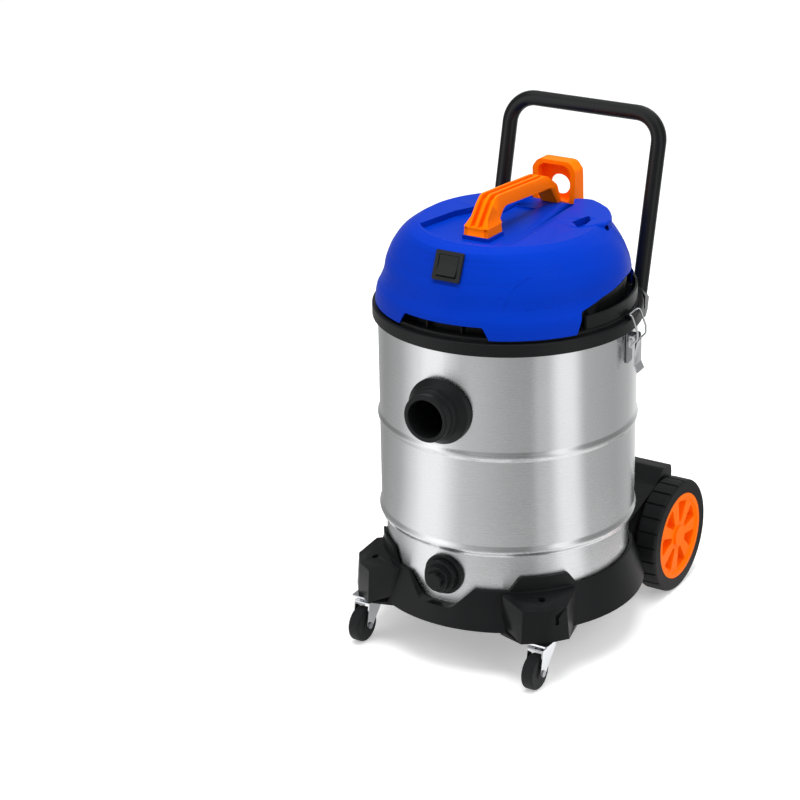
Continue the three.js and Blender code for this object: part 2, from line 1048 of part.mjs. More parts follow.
// One front pod with its sloping roof.
function makePod() {
  const d = pod.draft;
  const shape = hull([
    [pod.rootOut, -pod.sideHalfWidth, pod.bottomZ],
    [pod.sideOut, -pod.sideHalfWidth, pod.bottomZ],
    [pod.faceOut, -pod.faceHalfWidth, pod.bottomZ],
    [pod.faceOut + pod.nose, 0, pod.bottomZ],
    [pod.faceOut, pod.faceHalfWidth, pod.bottomZ],
    [pod.sideOut, pod.sideHalfWidth, pod.bottomZ],
    [pod.rootOut, pod.sideHalfWidth, pod.bottomZ],
    [pod.rootOut, -pod.sideHalfWidth + d, pod.sideTopZ],
    [pod.sideOut, -pod.sideHalfWidth + d, pod.sideTopZ],
    [pod.faceOut - d, -pod.faceHalfWidth + d, pod.faceTopZ],
    [pod.faceOut + pod.nose - d, 0, pod.faceTopZ],
    [pod.faceOut - d, pod.faceHalfWidth - d, pod.faceTopZ],
    [pod.sideOut, pod.sideHalfWidth - d, pod.sideTopZ],
    [pod.rootOut, pod.sideHalfWidth - d, pod.sideTopZ],
  ]);
  const drop = bar(
    [pod.holeOut, 0, pod.faceTopZ - pod.holeDepth],
    [pod.holeOut, 0, pod.sideTopZ + overrun],
    pod.holeRadius,
  );
  const slotZ = (pod.bottomZ + pod.faceTopZ) / 2;
  const slot = block(
    pod.faceOut - pod.slotDepth,
    pod.faceOut + overrun,
    pod.slotAcross,
    pod.slotAcross + pod.slotWidth,
    slotZ,
    slotZ + pod.slotHeight,
  );
  return turned(cut(shape, drop, slot).translate(baseRadius, 0, 0), pod.angle - 90);
}

// The raised collar that holds the drum behind a pod.
function makeCollar() {
  const inner = footRadius + base.pocketGap;
  const ring = lathe([
    [inner, base.topZ - base.wall],
    [inner + base.collarThickness, base.topZ - base.wall],
    [inner + base.collarThickness, base.collarTopZ],
    [inner, base.collarTopZ],
  ]);
  const window = slabX(
    [
      [-base.collarHalfWidth, base.topZ - base.wall],
      [base.collarHalfWidth, base.topZ - base.wall],
      [base.collarTopHalfWidth, base.collarTopZ + fit],
      [-base.collarTopHalfWidth, base.collarTopZ + fit],
    ],
    inner - overrun * 2,
    inner + overrun,
  );
  return shared(ring, turned(window, pod.angle - 90));
}

// The rear housing: two humps beside a lower bridge.
function makeRearHousing() {
  const side = (top, slope) => [
    [baseRadius - rear.frontInset, base.bottomZ, 0],
    [housingBackY, base.bottomZ, 0],
    [housingBackTopY, top],
    [housingMidY + (housingBackTopY - housingMidY) / 2, top],
    [housingMidY, slope],
    [baseRadius - rear.frontInset, rear.lowZ, 0],
  ];
  const hump = slabX(
    rounded(side(rear.topZ, rear.midZ), rear.cornerRound),
    rear.humpInner,
    rear.halfWidth,
  );
  const bridge = slabX(
    rounded(side(rear.bridgeZ, rear.bridgeZ - base.wall), rear.cornerRound),
    -rear.humpInner - fit,
    rear.humpInner + fit,
  );
  return join(hump, bridge, mirrored(hump));
}

function makeBase() {
  const pocket = footRadius + base.pocketGap;
  const floorTop = tank.floorZ - fit;
  const floorUnder = floorTop - base.floorThickness;
  const dish = lathe([
    [0, floorUnder],
    [flareRadius(floorUnder) - base.wall, floorUnder],
    [baseRadius - base.wall, base.bottomZ],
    [baseRadius, base.bottomZ],
    [baseTopRadius, base.topZ],
    [pocket, base.topZ],
    [pocket, floorTop],
    [0, floorTop],
  ]);
  const pods = [makePod(), mirrored(makePod())];
  const collars = [makeCollar(), mirrored(makeCollar())];
  const ribs = Array.from({ length: base.ribCount }, (_, i) => {
    const rib = block(
      base.ribInner,
      pocket,
      -base.ribThickness / 2,
      base.ribThickness / 2,
      base.bottomZ + base.wall / 2,
      floorTop,
    );
    return turned(rib, ((i + 0.5) * 360) / base.ribCount);
  });
  const whole = join(dish, makeRearHousing(), ...pods, ...collars, ...ribs);
  const wide = tank.radius + tank.beadDepth + base.pocketGap;
  const well = lathe([
    [0, floorTop],
    [pocket, floorTop],
    [pocket, base.shedZ],
    [wide, base.shedZ + base.wall],
    [wide, rear.topZ + overrun],
    [0, rear.topZ + overrun],
  ]);
  const notch = slabY(
    rounded(
      [
        [-base.notchHalfWidth - overrun, base.topZ + overrun, 0],
        [-base.notchHalfWidth, base.topZ],
        [-base.notchBottomHalfWidth, base.notchBottomZ],
        [base.notchBottomHalfWidth, base.notchBottomZ],
        [base.notchHalfWidth, base.topZ],
        [base.notchHalfWidth + overrun, base.topZ + overrun, 0],
      ],
      base.notchRound,
    ),
    -baseRadius - overrun,
    -footRadius / 2,
  );
  const arch = sideLathe(
    [
      [0, rear.halfWidth + fit],
      [wheel.radius + base.wall, rear.halfWidth + fit],
      [wheel.radius + base.wall, baseRadius + overrun],
      [0, baseRadius + overrun],
    ],
    axleY,
    wheel.radius,
    wheel.sides,
  );
  const hollow = slabX(
    [
      [wide + rear.hollowGap, base.bottomZ - overrun],
      [housingBackY - base.wall, base.bottomZ - overrun],
      [housingBackTopY - base.wall, rear.bridgeZ - base.wall * 2],
      [wide + rear.hollowGap, rear.bridgeZ - base.wall * 2],
    ],
    -rear.halfWidth + base.wall * 2,
    rear.halfWidth - base.wall * 2,
  );
  const axleHole = bar(
    [-rear.halfWidth - overrun, axleY, wheel.radius],
    [rear.halfWidth + overrun, axleY, wheel.radius],
    wheel.axleRadius + wheel.axleGap,
  );
  const kingpinHoles = [-1, 1].map((side) =>
    bar(
      [side * casterX, casterY, pod.bottomZ - overrun],
      [side * casterX, casterY, caster.kingpinTopZ + fit],
      caster.kingpinRadius + fit,
    ),
  );
  const archLeft = mirrored(arch);
  return cut(whole, well, notch, arch, archLeft, hollow, axleHole, ...kingpinHoles);
}

add("base_tray", makeBase(), finish.black);

// Rear wheels

// A tyre with grooves across its tread.
function makeTyre() {
  const step = (Math.PI * 2) / wheel.grooveCount;
  const half = (step * wheel.grooveShare) / 2;
  const low = wheel.radius - wheel.grooveDepth;
  const tread = Array.from({ length: wheel.grooveCount }, (_, i) => i * step).flatMap((groove) =>
    [
      [wheel.radius, groove + half],
      [wheel.radius, groove + step - half],
      [low, groove + step - half / 2],
      [low, groove + step + half / 2],
    ].map(([r, turn]) => [-r * Math.sin(turn), r * Math.cos(turn)]),
  );
  const grooved = slabX(tread, wheel.innerX, wheel.outerX);
  const crest = wheel.radius + wheel.shoulder / 4;
  const envelope = sideLathe(
    [
      [wheel.hubRadius + fit, wheel.innerX],
      [crest - wheel.shoulder, wheel.innerX],
      [crest, wheel.innerX + wheel.shoulder],
      [crest, wheel.outerX - wheel.shoulder],
      [crest - wheel.shoulder, wheel.outerX],
      [wheel.hubRadius + fit, wheel.outerX],
    ],
    0,
    0,
    wheel.sides,
  );
  return shared(envelope, grooved).translate(0, axleY, wheel.radius);
}

// A moulded hub with tapered pockets between its spokes.
function makeHub() {
  const face = wheel.outerX - wheel.faceInset;
  const web = face - wheel.pocketDepth;
  const rimInner = wheel.hubRadius - wheel.rimLip;
  const disc = sideLathe(
    [
      [0, web - wheel.webThickness],
      [rimInner, web - wheel.webThickness],
      [rimInner, wheel.innerX],
      [wheel.hubRadius, wheel.innerX],
      [wheel.hubRadius, wheel.outerX],
      [rimInner, wheel.outerX],
      [rimInner - wheel.faceInset, face],
      [0, face],
    ],
    0,
    0,
    wheel.sides,
  );
  const boss = sideLathe(
    [
      [0, wheel.innerX],
      [wheel.bossRadius, wheel.innerX],
      [wheel.bossRadius, wheel.outerX - wheel.faceInset / 2],
      [wheel.bossRadius - wheel.faceInset / 2, wheel.outerX],
      [0, wheel.outerX],
    ],
    0,
    0,
    smallSides,
  );
  const bore = bar(
    [wheel.innerX - overrun, 0, 0],
    [wheel.outerX - wheel.axleEnd + fit, 0, 0],
    wheel.axleRadius + wheel.axleGap,
    midSides,
  );
  const pockets = Array.from({ length: wheel.pocketCount }, (_, i) => {
    const corners = rounded(
      [
        [-wheel.pocketInnerHalf, wheel.pocketInner],
        [wheel.pocketInnerHalf, wheel.pocketInner],
        [wheel.pocketOuterHalf, wheel.pocketOuter],
        [-wheel.pocketOuterHalf, wheel.pocketOuter],
      ],
      wheel.pocketRound,
      1,
    );
    const turn = (i * Math.PI * 2) / wheel.pocketCount;
    return slabX(corners, web, face + overrun).rotateX(turn);
  });
  return cut(join(disc, boss), bore, ...pockets).translate(0, axleY, wheel.radius);
}

function makeSpacer() {
  const bore = wheel.axleRadius + wheel.axleGap;
  return sideLathe(
    [
      [bore, rear.halfWidth + fit],
      [wheel.spacerRadius, rear.halfWidth + fit],
      [wheel.spacerRadius, wheel.innerX - fit],
      [bore, wheel.innerX - fit],
    ],
    axleY,
    wheel.radius,
    smallSides,
  );
}

const axleEndX = wheel.outerX - wheel.axleEnd;
add(
  "rear_axle",
  bar([-axleEndX, axleY, wheel.radius], [axleEndX, axleY, wheel.radius], wheel.axleRadius),
  finish.zinc,
);
addPair("wheel_tyre", makeTyre(), finish.rubber);
addPair("wheel_hub", makeHub(), finish.orange);
addPair("wheel_spacer", makeSpacer(), finish.zinc);

// Casters, built at their swivel axis and carried to each side
const wheelY = casterY - caster.trail;

// Mounting plate, race and kingpin.
function makeCasterPlate() {
  const top = pod.bottomZ - fit;
  const under = top - caster.plateThickness;
  const plate = slabZ(
    rounded(
      [
        [-caster.plateHalf, -caster.plateHalf],
        [caster.plateHalf, -caster.plateHalf],
        [caster.plateHalf, caster.plateHalf],
        [-caster.plateHalf, caster.plateHalf],
      ],
      caster.plateThickness,
      2,
    ),
    under,
    top,
  );
  const race = lathe(
    [
      [0, caster.forkTopZ + fit],
      [caster.raceRadius, caster.forkTopZ + fit],
      [caster.raceRadius, under + fit],
      [0, under + fit],
    ],
    midSides,
  );
  const kingpin = bar([0, 0, under], [0, 0, caster.kingpinTopZ], caster.kingpinRadius);
  return join(plate, race, kingpin).translate(casterX, casterY, 0);
}

// A pressed fork: a crown plate and two cheeks that taper to the axle.
function makeCasterFork() {
  const crownZ = caster.forkTopZ - caster.forkThickness;
  const axle = { y: -caster.trail, z: caster.wheelRadius };
  const cheek = rounded(
    [
      [-caster.trail - caster.forkTip, axle.z - caster.forkTip / 2, caster.forkTip],
      [-caster.trail + caster.forkTip, axle.z - caster.forkTip / 2, caster.forkTip],
      [caster.forkFront, crownZ - caster.forkThickness * 2, caster.forkTip],
      [caster.forkFront, caster.forkTopZ, 0],
      [-caster.forkRear, caster.forkTopZ, 0],
    ],
    0,
  );
  const outer = slabX(cheek, -caster.forkHalfWidth, caster.forkHalfWidth);
  const roomHalf = caster.forkHalfWidth - caster.forkThickness;
  const room = block(-roomHalf, roomHalf, -overrun * 3, overrun * 3, -overrun, crownZ);
  const bore = bar(
    [-caster.forkHalfWidth - overrun, axle.y, axle.z],
    [caster.forkHalfWidth + overrun, axle.y, axle.z],
    caster.axleRadius + caster.axleGap,
  );
  return cut(outer, room, bore).translate(casterX, casterY, 0);
}

function makeCasterWheel() {
  const half = caster.wheelHalfWidth;
  const hub = half + caster.hubProud;
  return sideLathe(
    [
      [caster.axleRadius + caster.axleGap, -hub],
      [caster.hubRadius, -hub],
      [caster.hubRadius, -half],
      [caster.wheelRadius - caster.treadRound, -half],
      [caster.wheelRadius, -half + caster.treadRound],
      [caster.wheelRadius, half - caster.treadRound],
      [caster.wheelRadius - caster.treadRound, half],
      [caster.hubRadius, half],
      [caster.hubRadius, hub],
      [caster.axleRadius + caster.axleGap, hub],
    ],
    wheelY,
    caster.wheelRadius,
  ).translate(casterX, 0, 0);
}

function makeCasterAxle() {
  const end = caster.forkHalfWidth + fit;
  return sideLathe(
    [
      [0, -end - caster.axleHeadHeight],
      [caster.axleHead, -end - caster.axleHeadHeight],
      [caster.axleHead, -end],
      [caster.axleRadius, -end],
      [caster.axleRadius, end],
      [caster.axleHead, end],
      [caster.axleHead, end + caster.axleHeadHeight],
      [0, end + caster.axleHeadHeight],
    ],
    wheelY,
    caster.wheelRadius,
    smallSides,
  ).translate(casterX, 0, 0);
}

addPair("caster_plate", makeCasterPlate(), finish.chrome);
addPair("caster_fork", makeCasterFork(), finish.chrome);
addPair("caster_wheel", makeCasterWheel(), finish.rubber);
addPair("caster_axle", makeCasterAxle(), finish.zinc);

// Hose inlet

function makeInlet() {
  const body = frontLathe(
    [
      [inlet.boreRadius, inlet.rootOut],
      [inlet.flangeRadius, inlet.rootOut],
      [inlet.flangeRadius, inlet.flangeOut],
      [inlet.coneRadius, inlet.coneOut],
      [inlet.collarRadius, inlet.coneOut + inlet.lipRound],
      [inlet.collarRadius, inlet.collarOut],
      [inlet.lipRadius, inlet.collarOut + inlet.lipRound],
      [inlet.lipRadius, inlet.mouthOut - inlet.lipRound],
      [inlet.lipRadius - inlet.lipRound, inlet.mouthOut],
      [inlet.boreRadius, inlet.mouthOut],
    ],
    tank.radius,
    inletZ,
    inlet.sides,
  );
  const neck = frontLathe(
    [
      [inlet.boreRadius, inlet.neckEndOut],
      [inlet.neckRadius, inlet.neckEndOut],
      [inlet.neckRadius, inlet.flangeOut],
      [inlet.boreRadius, inlet.flangeOut],
    ],
    tank.radius,
    inletZ,
    inlet.sides,
  );
  return join(cut(body, drumTool(inlet.gasketThickness + 2 * fit)), neck);
}

// A rubber ring that follows the drum between the flange and the wall.
function makeInletGasket() {
  const ring = frontLathe(
    [
      [inlet.neckRadius + fit, inlet.rootOut],
      [inlet.gasketRadius, inlet.rootOut],
      [inlet.gasketRadius, overrun],
      [inlet.neckRadius + fit, overrun],
    ],
    tank.radius,
    inletZ,
    inlet.sides,
  );
  const shell = cut(drumTool(fit + inlet.gasketThickness), drumTool(fit));
  const front = block(-tank.radius, tank.radius, -tank.radius - overrun, 0, 0, barZ);
  return shared(shared(ring, shell), front);
}

// The nut that draws the inlet against the drum from inside.
function makeInletNut() {
  const ring = frontLathe(
    [
      [inlet.neckRadius + fit, inlet.nutOut],
      [inlet.nutRadius, inlet.nutOut],
      [inlet.nutRadius, overrun],
      [inlet.neckRadius + fit, overrun],
    ],
    tank.radius,
    inletZ,
    inlet.sides,
  );
  return shared(ring, drumTool(-tank.wall - fit));
}

add("inlet_port", makeInlet(), finish.black);
add("inlet_gasket", makeInletGasket(), finish.rubber);
add("inlet_nut", makeInletNut(), finish.black);

// Drain

function makeDrainPort() {
  const flange = frontLathe(
    [
      [drain.boreRadius, drain.rootOut],
      [drain.flangeRadius, drain.rootOut],
      [drain.flangeRadius, drain.flangeOut - inlet.lipRound],
      [drain.flangeRadius - inlet.lipRound, drain.flangeOut],
      [drain.boreRadius, drain.flangeOut],
    ],
    footRadius,
    drain.z,
  );
  const foot = footRadius + fit;
  const footTool = lathe([
    [0, 0],
    [foot, 0],
    [foot, barZ],
    [0, barZ],
  ]);
  const spout = frontLathe(
    [
      [drain.boreRadius, drain.neckEndOut],
      [drain.neckRadius, drain.neckEndOut],
      [drain.neckRadius, drain.spoutOut],
      [drain.boreRadius, drain.spoutOut],
    ],
    footRadius,
    drain.z,
  );
  return join(cut(flange, footTool), spout);
}

function makeDrainSeal() {
  return frontLathe(
    [
      [drain.neckRadius + fit, drain.flangeOut + fit],
      [drain.capRadius - fit, drain.flangeOut + fit],
      [drain.capRadius - fit, drain.flangeOut + fit + drain.sealThickness],
      [drain.neckRadius + fit, drain.flangeOut + fit + drain.sealThickness],
    ],
    footRadius,
    drain.z,
  );
}

// A stepped cap that screws over the spout, with a grip round its tip.
function makeDrainCap() {
  const start = drain.flangeOut + drain.sealThickness + 2 * fit;
  const bore = drain.neckRadius + drain.capGap;
  const floorOut = drain.spoutOut + fit;
  const body = frontLathe(
    [
      [bore, start],
      [drain.capRadius, start],
      [drain.capRadius, drain.capStepOut - inlet.lipRound],
      [drain.capRadius - inlet.lipRound, drain.capStepOut],
      [drain.midRadius, drain.capStepOut],
      [drain.midRadius, drain.midStepOut],
      [drain.tipRadius, drain.midStepOut],
      [drain.tipRadius, drain.tipOut - inlet.lipRound],
      [drain.tipRadius - inlet.lipRound, drain.tipOut],
      [0, drain.tipOut],
      [0, floorOut],
      [bore, floorOut],
    ],
    footRadius,
    drain.z,
  );
  const grips = Array.from({ length: drain.gripCount }, (_, i) => {
    const turn = (i * Math.PI * 2) / drain.gripCount;
    const x = drain.tipRadius * Math.cos(turn);
    const z = drain.z + drain.tipRadius * Math.sin(turn);
    return bar(
      [x, -footRadius - drain.midStepOut, z],
      [x, -footRadius - drain.tipOut - overrun, z],
      drain.gripDepth,
      smallSides / 2,
    );
  });
  return cut(body, ...grips);
}

add("drain_port", makeDrainPort(), finish.black);
add("drain_seal", makeDrainSeal(), finish.rubber);
add("drain_cap", makeDrainCap(), finish.black);

// Toggle latches, drawn at +X and turned to their place on the band
const latchTurn = latch.angle - 90;

function makeLatchBracket() {
  const wallX = tank.radius + fit;
  const plate = block(
    wallX,
    wallX + latch.plateThickness,
    -latch.plateHalf,
    latch.plateHalf,
    latch.plateBottomZ,
    latch.plateTopZ,
  );
  const ears = [-1, 1].map((side) => {
    const y0 = Math.min(side * latch.earInner, side * latch.earOuter);
    const y1 = Math.max(side * latch.earInner, side * latch.earOuter);
    return block(wallX, tank.radius + latch.earReach, y0, y1, latch.earBottomZ, latch.earTopZ);
  });
  const pinHole = bar(
    [pinOut, -overrun, latch.pinZ],
    [pinOut, overrun, latch.pinZ],
    latch.pinRadius + latch.pinGap,
  );
  return turned(cut(join(plate, ...ears), pinHole), latchTurn);
}

function makeLatchPin() {
  const end = latch.leverHalf;
  const pin = bar([pinOut, -end, latch.pinZ], [pinOut, end, latch.pinZ], latch.pinRadius);
  return turned(pin, latchTurn);
}

// The lever: a plate with a curled end, and two cheeks that hold the pin and the wire.
function makeLatchLever() {
  const out = leverOut;
  const wall = latch.leverWall;
  const plate = slabY(
    [
      [out, latch.leverTopZ],
      [out, latch.leverCurlZ],
      [out + latch.leverCurl, latch.leverBottomZ],
      [out + latch.leverCurl + wall, latch.leverBottomZ + wall / 2],
      [out + wall, latch.leverCurlZ + wall / 2],
      [out + wall, latch.leverTopZ],
    ],
    -latch.leverHalf,
    latch.leverHalf,
  );
  const cheeks = [-1, 1].map((side) => {
    const near = side * (latch.leverHalf - wall);
    const far = side * latch.leverHalf;
    return block(
      tank.radius + latch.cheekReach,
      out + wall / 2,
      Math.min(near, far),
      Math.max(near, far),
      latch.cheekBottomZ,
      latch.cheekTopZ,
    );
  });
  const holes = [
    [pinOut, latch.pinZ, latch.pinRadius],
    [wireOut, latch.wireZ, latch.wireRadius],
  ].map(([x, z, r]) => bar([x, -overrun, z], [x, overrun, z], r + latch.pinGap));
  return turned(cut(join(plate, ...cheeks), ...holes), latchTurn);
}

// The sprung wire bail, one bent wire from cheek to cheek over the head's catch.
function makeLatchBail() {
  const end = latch.leverHalf - latch.leverWall;
  const hookZ = bandTopZ - bandBottomZ + catchTopZ + fit + latch.wireRadius;
  const half = latch.wireHalf;
  const shoulder = [hookOut + latch.hookBend, hookZ];
  const arm = [
    [wireOut, latch.wireZ],
    [bulgeOut, latch.bulgeZ - (latch.bulgeZ - latch.wireZ) / 2],
    [bulgeOut, latch.bulgeZ],
    shoulder,
    [hookOut, hookZ],
  ];
  const up = arm.map(([x, z]) => [x, half, z]);
  const down = arm.map(([x, z]) => [x, -half, z]).reverse();
  const path = bentPath(
    [[wireOut, end, latch.wireZ], ...up, ...down, [wireOut, -end, latch.wireZ]],
    latch.wireBend,
    1,
  );
  return turned(tube(path, latch.wireRadius, 6), latchTurn);
}

addPair("latch_bracket", makeLatchBracket(), finish.zinc, latchFrame);
addPair("latch_pin", makeLatchPin(), finish.zinc, latchFrame);
addPair("latch_lever", makeLatchLever(), finish.chrome, latchFrame);
addPair("latch_bail", makeLatchBail(), finish.chrome, latchFrame);

// Head base

// The walls that rise beside the lid's side openings, between two places along Y.
function makeSideWall() {
  const ring = lathe([
    [sideWallRadius - head.wall, head.flangeTopZ - fit],
    [sideWallRadius, head.flangeTopZ - fit],
    [sideWallRadius, head.sideWallBackZ],
    [sideWallRadius - head.wall, head.sideWallBackZ],
  ]);
  const window = slabX(
    [
      [head.sideWallFrontY, head.flangeBottomZ],
      [head.sideWallBackY, head.flangeBottomZ],
      [head.sideWallBackY, head.sideWallBackZ],
      [0, head.sideWallBackZ],
      [head.sideWallFrontY, head.sideWallFrontZ],
    ],
    0,
    sideWallRadius + overrun,
  );
  return shared(ring, window);
}

// The catch that the bail pulls down, reaching out over the band.
function makeCatch() {
  const lug = block(
    flangeRadius - head.wall * 2,
    catchOut,
    -latch.catchHalf,
    latch.catchHalf,
    2 * fit,
    catchTopZ,
  );
  const seat = lathe([
    [0, 0],
    [gasketOuter + fit, 0],
    [gasketOuter + fit, head.flangeBottomZ + fit],
    [0, head.flangeBottomZ + fit],
  ]);
  return cut(turned(lug, latchTurn), seat);
}

function makeHeadBase() {
  const wall = head.wall;
  const seam = head.cupRadius - wall / 2;
  const pan = lathe([
    [seam, head.panZ],
    [panRadius, head.panEdgeZ],
    [panRadius, head.flangeBottomZ],
    [flangeRadius, head.flangeBottomZ],
    [flangeRadius, head.flangeTopZ],
    [innerWallRadius, head.flangeTopZ],
    [innerWallRadius, head.innerWallTopZ],
    [innerWallRadius - wall, head.innerWallTopZ],
    [innerWallRadius - wall, head.panEdgeZ + wall],
    [seam, head.panZ + wall],
  ]);
  const cup = lathe(
    [
      [head.intakeRadius, head.cupBottomZ],
      [head.cupRadius, head.cupBottomZ],
      [head.cupRadius, head.panZ + wall],
      [head.cupRadius - wall, head.panZ + wall],
      [head.cupRadius - wall, head.cupBottomZ + head.floorThickness],
      [head.intakeRadius, head.cupBottomZ + head.floorThickness],
    ],
    wheel.sides,
  );
  const ribs = [-1, 1].map((side) => {
    const rib = block(
      -head.ribThickness / 2,
      head.ribThickness / 2,
      -tank.radius + head.ribInset,
      -innerWallRadius + wall / 2,
      head.flangeTopZ - fit,
      head.ribTopZ,
    );
    return turned(rib, side * head.ribAngle);
  });
  const bosses = Array.from({ length: head.bossCount }, (_, i) => {
    const turn = (i * 360) / head.bossCount;
    const post = bar([0, -head.bossOut, head.panZ], [0, -head.bossOut, head.bossTopZ], head.bossRadius);
    return turned(post, turn);
  });
  const wallRight = makeSideWall();
  const lugRight = makeCatch();
  const trims = [wallRight, mirrored(wallRight), lugRight, mirrored(lugRight)];
  return join(pan, cup, ...ribs, ...bosses, ...trims);
}

function makeHeadGasket() {
  return lathe([
    [gasketInner, fit],
    [gasketOuter, fit],
    [gasketOuter, head.flangeBottomZ - fit],
    [gasketInner, head.flangeBottomZ - fit],
  ]);
}

add("head_base", makeHeadBase(), finish.black, upper);
add("head_gasket", makeHeadGasket(), finish.rubber, upper);

// Lid

// The place and lean of the switch on the lid's front.
const lean = radians(rocker.tilt);
const switchFrame = new THREE.Matrix4()
  .makeBasis(
    new THREE.Vector3(1, 0, 0),
    new THREE.Vector3(0, Math.sin(lean), Math.cos(lean)),
    new THREE.Vector3(0, -Math.cos(lean), Math.sin(lean)),
  )
  .setPosition(0, rocker.inset - browRadius, rocker.z);

// A rounded rectangle's outline, half its width and half its height.
function plateOutline(halfX, halfY, radius) {
  return rounded(
    [
      [-halfX, -halfY],
      [halfX, -halfY],
      [halfX, halfY],
      [-halfX, halfY],
    ],
    radius,
  );
}

// The outline of the tray sunk in the lid: a round front, a straight right side and an open back.
function trayOutline() {
  const startTurn = Math.asin(lid.trayRightX / trayRadius);
  const endTurn = Math.asin(lid.trayLeftX / trayRadius);
  const steps = 9;
  const front = Array.from({ length: steps + 1 }, (_, i) => {
    const turn = startTurn + ((endTurn - startTurn) * i) / steps;
    return [trayRadius * Math.sin(turn), -trayRadius * Math.cos(turn)];
  });
  const backY = shoulderRadius + overrun;
  return [
    [lid.trayRightX, backY],
    ...front,
    [lid.trayMidX, lid.trayMidY],
    [lid.trayBackLeftX, lid.trayBackLeftY],
    [lid.trayBackX, backY],
  ];
}

// The raised seat behind the tray that carries the cable hook.
function makeHookSeat() {
  const level = (halfX, endY, z) =>
    rounded(
      [
        [-halfX, crownRadius - lid.seatInset],
        [halfX, crownRadius - lid.seatInset],
        [halfX, endY, lid.seatRound],
        [-halfX, endY, lid.seatRound],
      ],
      0,
    ).map(([x, y]) => [x, y, z]);
  const backY = crownRadius + lid.seatReach;
  const lowHalf = lid.seatHalfWidth + lid.seatFlare;
  return hull([
    ...level(lid.seatHalfWidth, backY, lid.trayZ),
    ...level(lowHalf, backY + lid.seatFlare / 2, lid.trayZ - lid.seatDrop),
  ]);
}

function makeLid() {
  const outside = [
    [skirtRadius, lid.skirtZ],
    [hemRadius, lid.hemZ],
    [waistRadius, lid.waistZ],
    [bellyRadius, lid.bellyZ],
    [browRadius, lid.browZ],
    [shoulderRadius, lid.shoulderZ],
    [edgeRadius, lid.edgeZ],
    [crownRadius, lid.crownZ],
  ];
  const low = lid.skirtZ - overrun;
  const form = lathe([[0, lid.skirtZ], ...outside, [0, lid.crownZ]]);
  const hollow = lathe([
    [0, low],
    [skirtRadius - lid.wall, low],
    [skirtRadius - lid.wall, lid.skirtZ],
    [waistRadius - lid.wall, lid.waistZ],
    [browRadius - lid.wall, lid.browZ],
    [shoulderRadius - lid.wall, lid.ceilingZ],
    [0, lid.ceilingZ],
  ]);
  const shell = cut(join(form, makeHookSeat()), hollow);
  const tray = slabZ(trayOutline(), lid.trayZ, lid.crownZ + overrun);
  const slot = block(
    lid.slotX - lid.slotHalfX,
    lid.slotX + lid.slotHalfX,
    lid.slotY - lid.slotHalfY,
    lid.slotY + lid.slotHalfY,
    lid.trayZ - lid.slotDepth + fit * 2,
    lid.trayZ + overrun,
  );
  const frontCut = slabY(
    rounded(
      [
        [-lid.frontCutHalf - overrun / 3, low, 0],
        [lid.frontCutHalf + overrun / 3, low, 0],
        [lid.frontCutTopHalf, lid.frontCutZ],
        [-lid.frontCutTopHalf, lid.frontCutZ],
      ],
      lid.cutRound,
    ),
    -skirtRadius - overrun,
    -crownRadius + overrun,
  );
  const sideCut = slabX(
    rounded(
      [
        [lid.sideCutFrontY - overrun / 3, low, 0],
        [lid.sideCutEndY + overrun / 3, low, 0],
        [lid.sideCutBackY, lid.sideCutBackZ],
        [lid.sideCutHighY, lid.sideCutHighZ, lid.cutRound * 4],
        [lid.sideCutMidY, lid.sideCutMidZ, lid.cutRound * 4],
        [lid.sideCutStepY, lid.sideCutStepZ],
      ],
      lid.cutRound * 2,
    ),
    tank.radius - lid.sideCutInset,
    skirtRadius + overrun,
  );
  const crease = Math.atan2(
    lid.shoulderLineX - lid.shoulderFrontX,
    lid.shoulderTurnY - lid.shoulderFrontY,
  );
  const slope = slabY(
    [
      [0, fit],
      [skirtRadius, fit - skirtRadius * lid.shoulderSlope],
      [skirtRadius, overrun],
      [0, overrun],
    ],
    -skirtRadius,
    skirtRadius,
  )
    .rotateZ(-crease)
    .translate(lid.shoulderLineX, lid.shoulderTurnY, lid.crownZ);
  const reachX = lid.shoulderEndX - lid.shoulderLineX;
  const reachY = lid.shoulderEndY - lid.shoulderTurnY;
  const ahead = slabZ(
    [
      [0, -skirtRadius],
      [lid.shoulderEndX + reachX * 3, -skirtRadius],
      [lid.shoulderEndX + reachX * 3, lid.shoulderEndY + reachY * 2],
      [lid.shoulderEndX + reachX * 2, lid.shoulderEndY + reachY * 2],
      [lid.shoulderLineX, lid.shoulderTurnY],
      [0, lid.shoulderTurnY],
    ],
    lid.browZ,
    lid.crownZ + overrun * 2,
  );
  const shoulder = shared(slope, ahead);
  const pocket = slabZ(
    rounded(
      [
        [lid.pocketFrontInX, lid.pocketFrontInY],
        [lid.pocketFrontOutX, lid.pocketFrontOutY],
        [lid.pocketBackOutX, lid.pocketBackOutY],
        [lid.pocketBackInX, lid.pocketBackInY],
      ],
      lid.pocketDepth / 2,
    ),
    lid.crownZ - lid.pocketDepth,
    lid.crownZ + overrun,
  );
  const vent = bar(
    [lid.ventX, lid.ventY, lid.crownZ - lid.ventDepth],
    [lid.ventX, lid.ventY, lid.crownZ + overrun],
    lid.ventRadius,
  );
  const recess = slabZ(
    plateOutline(rocker.recessHalfX, rocker.recessHalfY, rocker.recessRound),
    -rocker.recessDepth,
    overrun,
  ).applyMatrix4(switchFrame);
  const switchHole = block(
    -rocker.bodyHalfX - fit,
    rocker.bodyHalfX + fit,
    -rocker.bodyHalfY - fit,
    rocker.bodyHalfY + fit,
    -overrun,
    overrun,
  ).applyMatrix4(switchFrame);
  const glandHole = bar(
    [0, crownRadius, gland.z],
    [0, skirtRadius + overrun, gland.z],
    gland.radius + fit,
    midSides,
  );
  const right = [sideCut, shoulder, pocket];
  const tools = [tray, slot, frontCut, vent, recess, switchHole, glandHole];
  return cut(shell, ...tools, ...right, ...right.map(mirrored));
}

add("lid_cover", makeLid(), finish.blue, upper);

